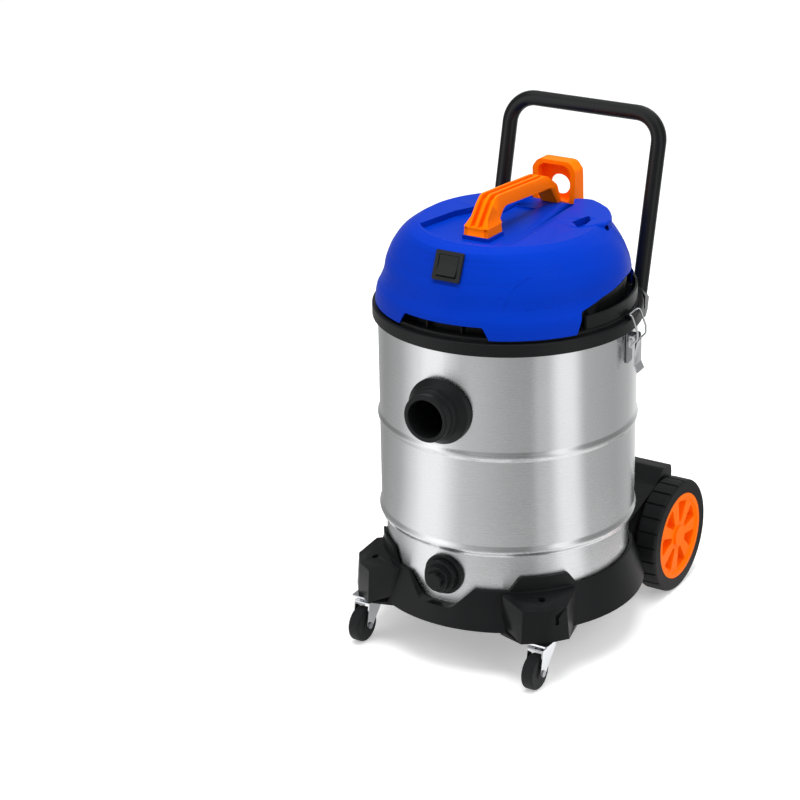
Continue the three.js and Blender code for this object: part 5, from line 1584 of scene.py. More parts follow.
@dataclass
class Latch:
    """A toggle latch: bracket, pin, lever and sprung wire bail."""

    drum: Drum
    angle: float = 95
    plate: float = 2
    plate_half: float = 10
    plate_bottom_z: float = 424
    plate_top_z: float = 470
    ear_inner: float = 6.4
    ear_outer: float = 8
    ear_out: float = 192.2
    ear_bottom_z: float = 456
    ear_top_z: float = 465.8
    pin_out: float = 188.5
    pin_z: float = 462
    pin_radius: float = 1.5
    lever_half: float = 12
    lever_wall: float = 1.6
    lever_out: float = 193
    lever_top_z: float = 456
    lever_bottom_z: float = 414
    lever_curl: float = 5
    lever_curl_z: float = 424
    cheek_inner: float = 185.5
    cheek_bottom_z: float = 449
    cheek_top_z: float = 466
    wire_radius: float = 1.35
    wire_half: float = 15
    wire_out: float = 189.5
    wire_z: float = 453
    bulge_out: float = 199
    bulge_z: float = 474
    hook_out: float = 185.4
    hook_z: float = 496.7
    hook_bend: float = 5

    def bracket(self) -> Mesh:
        """The plate on the drum with the ears of the pin."""
        wall_x = self.drum.radius + FIT
        h = self.plate_half
        outline = rounded(rectangle((-h, h), (self.plate_bottom_z, self.plate_top_z)), 4)
        plate = prism(outline, wall_x, wall_x + self.plate, Plane.SIDE)
        ears = []
        line = rounded(
            [
                (wall_x, self.ear_bottom_z, 0),
                (self.ear_out, self.ear_bottom_z),
                (self.ear_out, self.ear_top_z),
                (wall_x, self.ear_top_z, 0),
            ],
            3,
        )
        for s in (1, -1):
            low, high = sorted((s * self.ear_inner, s * self.ear_outer))
            ears.append(prism(line, low, high, Plane.FRONT))
        return turned(join(plate, *ears), self.angle - 90)

    def lever(self) -> Mesh:
        """The lever: a plate with a curled end between two cheeks."""
        out, wall = self.lever_out, self.lever_wall
        plate = slab(
            [
                (out, self.lever_top_z, 0),
                (out, self.lever_curl_z, 8),
                (out + self.lever_curl, self.lever_bottom_z, 0),
                (out + self.lever_curl + wall, self.lever_bottom_z + wall / 2, 0),
                (out + wall, self.lever_curl_z + wall / 2, 8),
                (out + wall, self.lever_top_z, 0),
            ],
            0,
            -self.lever_half,
            self.lever_half,
            Plane.FRONT,
        )
        cheeks = []
        for s in (1, -1):
            low, high = sorted((s * (self.lever_half - wall), s * self.lever_half))
            line = rounded(
                [
                    (self.cheek_inner, self.cheek_bottom_z),
                    (out + wall / 2, self.cheek_bottom_z, 0),
                    (out + wall / 2, self.cheek_top_z),
                    (self.cheek_inner, self.cheek_top_z),
                ],
                3,
            )
            cheeks.append(prism(line, low, high, Plane.FRONT))
        holes = [
            rod((x, -OVERRUN, z), (x, OVERRUN, z), radius + FIT)
            for x, z, radius in (
                (self.pin_out, self.pin_z, self.pin_radius),
                (self.wire_out, self.wire_z, self.wire_radius),
            )
        ]
        return turned(cut(join(plate, *cheeks), *holes), self.angle - 90)

    def bail(self) -> Mesh:
        """The wire, bent from cheek to cheek over the head's catch."""
        end = self.lever_half - self.lever_wall
        half = self.wire_half
        arm = [
            (self.wire_out, self.wire_z),
            (self.bulge_out, (self.bulge_z + self.wire_z) / 2),
            (self.bulge_out, self.bulge_z),
            (self.hook_out + self.hook_bend, self.hook_z),
            (self.hook_out, self.hook_z),
        ]
        up = [(x, half, z) for x, z in arm]
        down = [(x, -half, z) for x, z in reversed(arm)]
        ends = [(self.wire_out, end, self.wire_z), (self.wire_out, -end, self.wire_z)]
        path = bent([ends[0], *up, *down, ends[1]], 4, 6)
        return turned(sweep(path, self.wire_radius, 20), self.angle - 90)

    def build(self, bench: Bench) -> None:
        """Makes both latches."""
        parts = (
            ("bracket", self.bracket(), Finish.ZINC, "chassis", 0.4),
            ("lever", self.lever(), Finish.CHROME, "lever_{}", 0.4),
            ("bail", self.bail(), Finish.CHROME, "bail_{}", 0.0),
        )
        for side in Side:
            word = side.word
            for name, mesh, finish, body, edge in parts:
                solid, node = side.copy(mesh), f"latch_{name}_{word}"
                bench.piece(f"{node}_fine", solid, finish, body.format(word), [node], edge)
            bench.dress(f"latch_pin_{word}", Finish.ZINC)


@dataclass
class HeadBase:
    """The black lower part of the head: flange, catches, inner walls and the motor's cup."""

    latch: Latch
    flange: float = 180
    flange_bottom_z: float = 492.9
    flange_top_z: float = 495.3
    cup: float = 80
    wall: float = 3
    cup_bottom_z: float = 430
    floor: float = 4
    intake: float = 40
    pan_z: float = 482
    pan: float = 171
    pan_edge_z: float = 489.8
    inner_wall: float = 163
    inner_wall_top_z: float = 530
    side_wall: float = 178.5
    side_front_z: float = 514
    side_back_z: float = 515
    side_front_y: float = -74
    side_back_y: float = 112
    rib: float = 2.4
    rib_out: float = 171
    rib_top_z: float = 508
    rib_angles: tuple[float, ...] = (-9.0, 9.0)
    boss_radius: float = 6
    boss_out: float = 92
    boss_top_z: float = 492
    boss_count: int = 3
    catch_half: float = 11
    catch_out: float = 187.4
    catch_seat_radius: float = 179.8
    catch_bottom_z: float = 489.9
    catch_top_z: float = 495

    def side_wall_solid(self) -> Mesh:
        """The wall that rises in the lid's side opening."""
        low = self.flange_top_z - FIT
        inner = self.side_wall - self.wall
        ring = round_wall(inner, self.side_wall, low, self.side_back_z)
        outline = [
            (self.side_front_y, self.flange_bottom_z),
            (self.side_back_y, self.flange_bottom_z),
            (self.side_back_y, self.side_back_z),
            (0, self.side_back_z),
            (self.side_front_y, self.side_front_z),
        ]
        return shared(ring, prism(outline, 0, self.side_wall + OVERRUN, Plane.SIDE))

    def catch(self) -> Mesh:
        """The catch that the bail pulls down."""
        lug = block(
            (self.flange - 2 * self.wall, self.catch_out),
            (-self.catch_half, self.catch_half),
            (self.catch_bottom_z, self.catch_top_z),
        )
        seat = round_wall(0, self.catch_seat_radius, 0, self.flange_bottom_z + FIT)
        return cut(turned(lug, self.latch.angle - 90), seat)

    def solid(self) -> Mesh:
        """The whole head base."""
        wall = self.wall
        seam = self.cup - wall / 2
        pan = revolve(
            [
                (seam, self.pan_z),
                (self.pan, self.pan_edge_z),
                (self.pan, self.flange_bottom_z),
                (self.flange, self.flange_bottom_z),
                (self.flange, self.flange_top_z),
                (self.inner_wall, self.flange_top_z),
                (self.inner_wall, self.inner_wall_top_z),
                (self.inner_wall - wall, self.inner_wall_top_z),
                (self.inner_wall - wall, self.pan_edge_z + wall),
                (seam, self.pan_z + wall),
            ]
        )
        cup = revolve(
            [
                (self.intake, self.cup_bottom_z),
                (self.cup, self.cup_bottom_z),
                (self.cup, self.pan_z + wall),
                (self.cup - wall, self.pan_z + wall),
                (self.cup - wall, self.cup_bottom_z + self.floor),
                (self.intake, self.cup_bottom_z + self.floor),
            ]
        )
        ribs = []
        for angle in self.rib_angles:
            half = self.rib / 2
            rib = block(
                (-half, half),
                (-self.rib_out, -self.inner_wall + wall / 2),
                (self.flange_top_z - FIT, self.rib_top_z),
            )
            ribs.append(turned(rib, angle))
        foot, top = (0, -self.boss_out, self.pan_z), (0, -self.boss_out, self.boss_top_z)
        posts = [
            turned(rod(foot, top, self.boss_radius), 360 * i / self.boss_count)
            for i in range(self.boss_count)
        ]
        side, lug = self.side_wall_solid(), self.catch()
        return join(pan, cup, *ribs, *posts, side, mirrored(side), lug, mirrored(lug))

    def build(self, bench: Bench) -> None:
        """Makes the head base and dresses its gasket."""
        bench.piece("head_pan", self.solid(), Finish.BLACK, "head", ["head_base"], 0.6)
        bench.dress("head_gasket", Finish.RUBBER)


@dataclass
class Switch:
    """The rocker switch, in a frame that leans back with the lid."""

    tilt: float = 22
    out_y: float = 156.5
    z: float = 580.5
    recess_half_x: float = 27
    recess_half_y: float = 25
    recess_depth: float = 2
    recess_round: float = 4
    bezel_half_x: float = 21
    bezel_half_y: float = 20
    bezel_proud: float = 2.2
    bezel_round: float = 2.5
    body_half_x: float = 17
    body_half_y: float = 16
    body_depth: float = 16
    well_half_x: float = 15.2
    well_half_y: float = 14.6
    well_depth: float = 9
    gap: float = 0.7
    button_bottom: float = 5
    button_proud: float = 1.4
    button_crown: float = 2.2
    pivot_depth: float = 2
    swing: float = 7

    def frame(self) -> Matrix:
        """The place and lean of the switch on the lid."""
        lean = math.radians(self.tilt)
        turn = Matrix(
            (
                (1, 0, 0),
                (0, math.sin(lean), -math.cos(lean)),
                (0, math.cos(lean), math.sin(lean)),
            )
        ).to_4x4()
        return Matrix.Translation((0, -self.out_y, self.z)) @ turn

    def panel(self, half_x: float, half_y: float, radius: float, low: float, high: float) -> Mesh:
        """A rounded rectangle made solid in the switch's own frame.

        Args:
            half_x: Half its width.
            half_y: Half its height.
            radius: Its corners' radius.
            low: Where it starts.
            high: Where it ends.

        Returns:
            The solid.
        """
        return slab(rectangle((-half_x, half_x), (-half_y, half_y)), radius, low, high)

    def cutters(self) -> list[Mesh]:
        """What the switch takes out of the lid."""
        recess = self.panel(
            self.recess_half_x, self.recess_half_y, self.recess_round, -self.recess_depth, OVERRUN
        )
        hole = self.panel(
            self.body_half_x + FIT, self.body_half_y + FIT, 0.5, -OVERRUN, OVERRUN
        )
        return [moved(tool, self.frame()) for tool in (recess, hole)]

    def bezel(self) -> Mesh:
        """The frame of the switch and its body."""
        back = -self.recess_depth + FIT
        plate = self.panel(
            self.bezel_half_x, self.bezel_half_y, self.bezel_round, back, self.bezel_proud
        )
        body = self.panel(self.body_half_x, self.body_half_y, 0.5, -self.body_depth, back + FIT)
        well = self.panel(self.well_half_x, self.well_half_y, 0.8, -self.well_depth, OVERRUN)
        return moved(cut(join(plate, body), well), self.frame())

    def button(self) -> Mesh:
        """The rocker, tipped to its off side."""
        half_y = self.well_half_y - self.gap
        proud = self.bezel_proud + self.button_proud
        side = rounded(
            [
                (-half_y, -self.button_bottom, 0),
                (half_y, -self.button_bottom, 0),
                (half_y, proud, 0.6),
                (0, proud - self.button_crown, 30),
                (-half_y, proud, 0.6),
            ],
            0,
        )
        half_x = self.well_half_x - self.gap
        level = shifted(prism(side, -half_x, half_x, Plane.SIDE), z=self.pivot_depth)
        tipped = shifted(turned(level, -self.swing, "X"), z=-self.pivot_depth)
        return moved(tipped, self.frame())

    def build(self, bench: Bench) -> None:
        """Makes the bezel and the rocker."""
        bench.piece("switch_frame", self.bezel(), Finish.SWITCH, "head", ["switch_bezel"], 0.5)
        bench.piece("switch_button", self.button(), Finish.SWITCH, "rocker", ["switch_rocker"], 0.4)


@dataclass
class Lid:
    """The blue lid: a dome that is fuller in front, a sunk tray and a raised rear corner."""

    switch: Switch
    wall: float = 3
    skirt: tuple[float, float] = (182.8, 493.3)
    crown: tuple[float, float] = (119.8, 604.5)
    # Radius at the sides, height, and the share by which it reaches further in front
    flank: tuple[tuple[float, float, float], ...] = (
        (182.8, 493.3, 1.006),
        (180.4, 511, 1.003),
        (174, 523, 1.017),
        (169.5, 535, 1.02),
        (167.5, 548, 1.009),
        (163.4, 560, 1.004),
        (158.4, 570, 1.013),
        (151.5, 580, 1.03),
        (144.5, 588, 1.055),
        (137, 594, 1.095),
        (129.5, 599, 1.13),
        (122.8, 602.5, 1.11),
        (119.8, 604.5, 1.07),
    )
    corner: tuple[tuple[float, float], ...] = (
        (30, 8),
        (100, 8),
        (112, 22),
        (126, 46),
        (126, 64),
        (116, 84),
        (105, 101),
        (94, 114),
        (74, 128),
        (59, 136),
        (48, 135),
        (37, 130),
        (30, 120),
    )
    corner_low_z: float = 575
    corner_round: float = 4
    slope_fall: float = 3
    marks: tuple[tuple[tuple[float, float], ...], ...] = (
        ((27.8, 535), (29.8, 549), (33.9, 563), (39, 571), (50, 576.5), (58, 579)),
        ((38, 532.5), (48, 534.5), (62, 537)),
        ((-16, 541), (-1, 545), (13, 547), (26, 548)),
    )
    mark_radius: float = 0.7
    ceiling_z: float = 592.5
    tray_z: float = 596.3
    tray_radius: float = 122
    tray_right_x: float = 66
    tray_right: tuple[tuple[float, float], ...] = ((37, 121), (52, 91), (59, 45))
    tray_left_x: float = -91
    tray_mid: tuple[float, float] = (-80, -9)
    tray_back_left: tuple[float, float] = (-45, 70)
    tray_back_x: float = -36
    front_cut_half: float = 74
    front_cut_top_half: float = 60
    front_cut_z: float = 510
    side_front_y: float = -95
    side_step: tuple[float, float] = (-79, 521)
    side_mid: tuple[float, float] = (-38, 531)
    side_high: tuple[float, float] = (30, 540)
    side_back: tuple[float, float] = (112, 536)
    side_end_y: float = 132
    side_inner_x: float = 96
    cut_round: float = 5
    pocket: tuple[tuple[float, float], ...] = (
        (84, 27),
        (104, 9),
        (107, 16),
        (103, 46),
        (91, 66),
    )
    pocket_round: float = 2.5
    pocket_depth: float = 10
    hook_sink: float = 2.8
    pad_margin: float = 2.5
    pad_y: tuple[float, float] = (-88, -46)
    pad_half: float = 21
    pad_rise: float = 5
    slot_x: float = -18
    slot_y: float = 46
    slot_half_x: float = 17
    slot_half_y: float = 34
    slot_depth: float = 2.6
    seat_half: float = 34.6
    seat_front_y: float = 124
    seat_back_y: float = 160
    seat_round: float = 8
    seat_drop: float = 22
    seat_flare: float = 9
    vent_inner: tuple[float, float, float] = (115.6, 56.2, 591.8)
    vent_outer: tuple[float, float, float] = (140.6, 39.6, 603)
    vent_radius: float = 4.2
    gland_y: tuple[float, float] = (140, 210)
    gland_z: float = 556
    gland_radius: float = 9.3

    def tray(self) -> Mesh:
        """The tray's room: a round front, a straight right side and an open back."""
        start = math.asin(self.tray_right_x / self.tray_radius)
        end = math.asin(self.tray_left_x / self.tray_radius)
        steps = 40
        front = []
        for k in range(steps + 1):
            turn = start + (end - start) * k / steps
            front.append((self.tray_radius * math.sin(turn), -self.tray_radius * math.cos(turn)))
        back = self.skirt[0]
        outline = [
            (self.tray_right[0][0], back),
            *self.tray_right,
            *front,
            self.tray_mid,
            self.tray_back_left,
            (self.tray_back_x, back),
        ]
        return prism(outline, self.tray_z, self.crown[1] + OVERRUN)

    def hook_seat(self) -> Mesh:
        """The raised seat behind the tray that carries the cable hook."""
        points: list[tuple[float, float, float]] = []
        for down, out in ((0.0, 0.0), (self.seat_drop, self.seat_flare)):
            half, back = self.seat_half + out, self.seat_back_y + out / 2
            level = rounded(
                [
                    (-half, self.seat_front_y),
                    (half, self.seat_front_y),
                    (half, back, self.seat_round),
                    (-half, back, self.seat_round),
                ],
                0,
            )
            points += [(x, y, self.tray_z - self.hook_sink - down) for x, y in level]
        return hull(points)

    def reach(self, z: float, turn: float = 90) -> Vector:
        """Finds a place on the dome.

        Args:
            z: Its height.
            turn: Degrees round from the front towards the right.

        Returns:
            The place.
        """
        for (r0, z0, f0), (r1, z1, f1) in zip(self.flank, self.flank[1:]):
            if z <= z1:
                break
        share = (z - z0) / (z1 - z0)
        side, front = r0 + (r1 - r0) * share, f0 + (f1 - f0) * share
        angle = math.atan2(math.sin(math.radians(turn)) * front, math.cos(math.radians(turn)))
        return Vector((side * math.sin(angle), -side * front * math.cos(angle), z))

    def dome(self) -> Mesh:
        """The outer form, fuller in front than at the sides, with the moulded marks."""
        line = smooth_line([(r, z) for r, z, _ in self.flank], 4)
        mesh = revolve([(0, self.skirt[1]), *line, (0, self.crown[1])])
        for vertex in mesh.vertices:
            z = min(max(vertex.co.z, self.skirt[1]), self.crown[1])
            vertex.co.y *= -self.reach(z, 0).y / self.reach(z).x
        lines = [
            sweep([self.reach(z, turn) for turn, z in mark], self.mark_radius, 12)
            for mark in self.marks
        ]
        return join(mesh, *lines)

    def rear_corner(self) -> Mesh:
        """The raised corner behind the right shoulder, rounded towards its top."""
        centre = sum((Vector(place) for place in self.corner), Vector((0, 0))) / len(self.corner)
        points = []
        for step in range(5):
            turn = math.pi / 2 * step / 4
            inset = self.corner_round * (1 - math.cos(turn))
            z = self.crown[1] - self.corner_round * (1 - math.sin(turn))
            for place in self.corner:
                inward = (centre - Vector(place)).normalized() * inset
                points.append((place[0] + inward.x, place[1] + inward.y, z))
        points += [(x, y, self.corner_low_z) for x, y in self.corner]
        return hull(points)

    def slope(self) -> Mesh:
        """What the right shoulder's gentle fall takes off, from the tray's edge outwards."""
        x, z, far = self.tray_right_x, self.crown[1] + FIT / 3, self.skirt[0]
        room = prism(
            [(x, z), (far, z - self.slope_fall), (far, z + OVERRUN), (x, z + OVERRUN)],
            -far,
            far,
            Plane.FRONT,
        )
        return cut(room, self.rear_corner())

    def shell(self) -> Mesh:
        """The lid with all its openings."""
        inner = [
            (r - self.wall, z - self.wall / 2)
            for r, z, _ in self.flank
            if z - self.wall / 2 <= self.ceiling_z
        ]
        low = self.skirt[1] - OVERRUN
        ceiling = self.ceiling_z
        edge = [(0, low), (inner[0][0], low)]
        hollow = revolve([*edge, *inner, (inner[-1][0], ceiling), (0, ceiling)])
        body = join(cut(join(self.dome(), self.rear_corner()), hollow), self.hook_seat())
        half, sunk = self.seat_half, self.tray_z - self.hook_sink
        deep = (self.seat_front_y, self.seat_back_y + OVERRUN)
        sunk_seat = block((-half, half), deep, (sunk, 2 * sunk))
        top = self.crown[1] + OVERRUN
        slot = block(
            (self.slot_x - self.slot_half_x, self.slot_x + self.slot_half_x),
            (self.slot_y - self.slot_half_y, self.slot_y + self.slot_half_y),
            (self.tray_z - self.slot_depth, top),
        )
        splay = OVERRUN / 3
        front_cut = slab(
            [
                (-self.front_cut_half - splay, low, 0),
                (self.front_cut_half + splay, low, 0),
                (self.front_cut_top_half, self.front_cut_z),
                (-self.front_cut_top_half, self.front_cut_z),
            ],
            self.cut_round,
            -self.skirt[0] - OVERRUN,
            -self.crown[0] + OVERRUN,
            Plane.FRONT,
        )
        side_cut = slab(
            [
                (self.side_front_y - splay, low, 0),
                (self.side_end_y + splay, low, 0),
                self.side_back,
                (*self.side_high, 60),
                (*self.side_mid, 60),
                self.side_step,
            ],
            2 * self.cut_round,
            self.side_inner_x,
            self.skirt[0] + OVERRUN,
            Plane.SIDE,
        )
        pocket_low = self.crown[1] - self.pocket_depth
        pocket = slab(self.pocket, self.pocket_round, pocket_low, top)
        vent = rod(self.vent_inner, self.vent_outer, self.vent_radius)
        near, far = self.gland_y
        gland = rod((0, near, self.gland_z), (0, far, self.gland_z), self.gland_radius)
        tray = self.tray()
        pad = slab(
            rectangle((-self.pad_half, self.pad_half), self.pad_y),
            self.pad_margin,
            self.tray_z - FIT,
            self.tray_z + self.pad_rise,
        )
        tools = [side_cut, mirrored(side_cut), self.slope(), pocket, tray, slot, sunk_seat]
        tools += [front_cut, vent, gland, *self.switch.cutters()]
        return join(cut(body, *tools), pad)

    def build(self, bench: Bench) -> None:
        """Makes the lid and dresses the cord inlet."""
        bench.piece("lid_shell", self.shell(), Finish.BLUE, "head", ["lid_cover"], 1.2, 30)
        bench.dress("cord_gland", Finish.BLACK)


@dataclass
class CarryHandle:
    """The orange carrying handle: an arch on a flared foot, with three ribs along its top."""

    lid: Lid
    half_width: float = 13
    foot_half: float = 18.5
    foot_front_y: float = -86
    foot_back_y: float = -48
    foot_base: float = 5
    foot_rise: float = 17
    flare_rise: float = 12
    leg_top: tuple[float, float] = (-63, 44)
    knee: tuple[float, float] = (-51, 54)
    grip_back: tuple[float, float] = (86, 47)
    back: tuple[float, float] = (115, 28)
    end_y: float = 127.7
    under_front: tuple[float, float] = (-32, 35.5)
    under_back: tuple[float, float] = (96, 27)
    inner_leg_y: float = -46
    inner_back_y: float = 117
    bend: float = 16
    foot_round: float = 4
    groove_inner: float = 2.2
    groove_outer: float = 9.2
    groove_depth: float = 7

    def side(self) -> Outline:
        """The handle's side view, with its heights over the tray."""
        return rounded(
            [
                (self.foot_front_y, self.foot_base, 0),
                (self.foot_front_y, self.foot_rise, self.foot_round),
                self.leg_top,
                self.knee,
                self.grip_back,
                self.back,
                (self.end_y, 0, 0),
                (self.inner_back_y, 0, 0),
                (*self.under_back, self.foot_round),
                self.under_front,
                (self.inner_leg_y, self.foot_rise, self.foot_round),
                (self.foot_back_y, self.foot_base, 0),
            ],
            self.bend,
            8,
        )

    def foot(self) -> Mesh:
        """The foot's block and the flare that runs from it into the front leg."""
        inset = self.foot_round / 2
        base = slab(
            [
                (self.foot_front_y, self.foot_base, 0),
                (self.foot_back_y, self.foot_base, 0),
                (self.foot_back_y - inset, self.foot_rise),
                (self.foot_front_y + inset, self.foot_rise),
            ],
            inset,
            -self.foot_half,
            self.foot_half,
            Plane.SIDE,
        )
        low, high = self.foot_rise - FIT, self.foot_rise + self.flare_rise
        flare = prism(
            [
                (-self.foot_half, low),
                (self.foot_half, low),
                (self.half_width, high),
                (-self.half_width, high),
            ],
            self.foot_front_y,
            self.foot_back_y,
            Plane.FRONT,
        )
        leg = prism(self.side(), -self.foot_half, self.foot_half, Plane.SIDE)
        return join(base, shared(flare, leg))

    def grooves(self) -> list[Mesh]:
        """The two grooves between the ribs."""
        d = self.groove_depth
        top = self.knee[1] + OVERRUN
        line = rounded(
            [
                (self.foot_front_y - OVERRUN, self.foot_rise, 0),
                (self.foot_front_y + d + self.foot_round, self.foot_rise, 0),
                (self.leg_top[0] + d, self.leg_top[1] - d / 2),
                (self.knee[0], self.knee[1] - d),
                (self.grip_back[0], self.grip_back[1] - d),
                (self.grip_back[0] + d, top, 0),
                (self.foot_front_y - OVERRUN, top, 0),
            ],
            self.bend,
            8,
        )
        spans = ((self.groove_inner, self.groove_outer), (-self.groove_outer, -self.groove_inner))
        return [prism(line, low, high, Plane.SIDE) for low, high in spans]

    def solid(self) -> Mesh:
        """The handle with the grooves between its ribs."""
        arch = prism(self.side(), -self.half_width, self.half_width, Plane.SIDE)
        whole = cut(join(arch, self.foot()), *self.grooves())
        return shifted(whole, z=self.lid.tray_z + FIT)

    def build(self, bench: Bench) -> None:
        """Makes the handle."""
        bench.piece("lift_arch", self.solid(), Finish.ORANGE, "head", ["carry_handle"], 1.4)


@dataclass
class CableHook:
    """The orange cable hook: a deep frame with a web, an oval eye and a raked back."""

    lid: Lid
    front_y: float = 128
    back_y: float = 155.4
    back_top_y: float = 151
    foot_half: float = 33.5
    half_width: float = 34
    top_half: float = 25
    hip_rise: float = 34
    shoulder_rise: float = 48
    top_rise: float = 60
    side: float = 8
    top: float = 5.5
    foot: float = 3
    web_y: float = 148
    web: float = 4
    corner: float = 11
    eye_half_x: float = 15.5
    eye_half_z: float = 14.5
    eye_rise: float = 20.8

    def outline(self, side: float = 0, top: float = 0, foot: float = 0) -> Outline:
        """The hook's front view, drawn in by a wall, with its heights over the seat.

        Args:
            side: The wall at its sides.
            top: The wall at its top.
            foot: The wall at its foot.

        Returns:
            The rounded outline of (x, z).
        """
        right = [
            (self.foot_half - side, foot, self.foot),
            (self.half_width - side, self.hip_rise),
            (self.half_width - side, self.shoulder_rise),
            (self.top_half - side, self.top_rise - top),
        ]
        left = [(-x, *rest) for x, *rest in reversed(right)]
        return rounded([*right, *left], self.corner)

    def solid(self) -> Mesh:
        """The hook with its rooms and eye."""
        body = prism(self.outline(), self.front_y, self.back_y, Plane.FRONT)
        room = self.outline(self.side, self.top, self.foot)
        front = prism(room, self.front_y - OVERRUN, self.web_y, Plane.FRONT)
        back = prism(room, self.web_y + self.web, self.back_y + OVERRUN, Plane.FRONT)
        reach = self.half_width + OVERRUN
        rake = prism(
            [
                (self.back_y, -FIT),
                (self.back_y + OVERRUN, -FIT),
                (self.back_y + OVERRUN, self.top_rise + FIT),
                (self.back_top_y, self.top_rise + FIT),
            ],
            -reach,
            reach,
            Plane.SIDE,
        )
        ring = [
            (self.eye_half_x * math.cos(t), self.eye_rise + self.eye_half_z * math.sin(t))
            for t in (math.tau * i / MIDDLE for i in range(MIDDLE))
        ]
        eye = prism(ring, self.front_y, self.back_y, Plane.FRONT)
        return shifted(
            cut(body, front, back, rake, eye), z=self.lid.tray_z - self.lid.hook_sink + FIT
        )

    def build(self, bench: Bench) -> None:
        """Makes the hook."""
        bench.piece("cord_hook", self.solid(), Finish.ORANGE, "head", ["cable_hook"], 1.4)


@dataclass
class Inside:
    """What the head holds: the motor, the float in its cage and the filter."""

    finishes: dict[str, Finish] = field(
        default_factory=lambda: {
            "motor_body": Finish.CAST,
            "motor_rotor": Finish.CAST,
            "motor_seal_lower": Finish.RUBBER,
            "motor_seal_upper": Finish.RUBBER,
            "motor_clamp": Finish.BLACK,
            "float_cage": Finish.BLACK,
            "float_ball": Finish.FLOAT,
            "filter_element": Finish.PAPER,
            "filter_ring": Finish.RUBBER,
        }
    )

    def build(self, bench: Bench) -> None:
        """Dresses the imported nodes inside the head."""
        for node, finish in self.finishes.items():
            bench.dress(node, finish)


# The studio


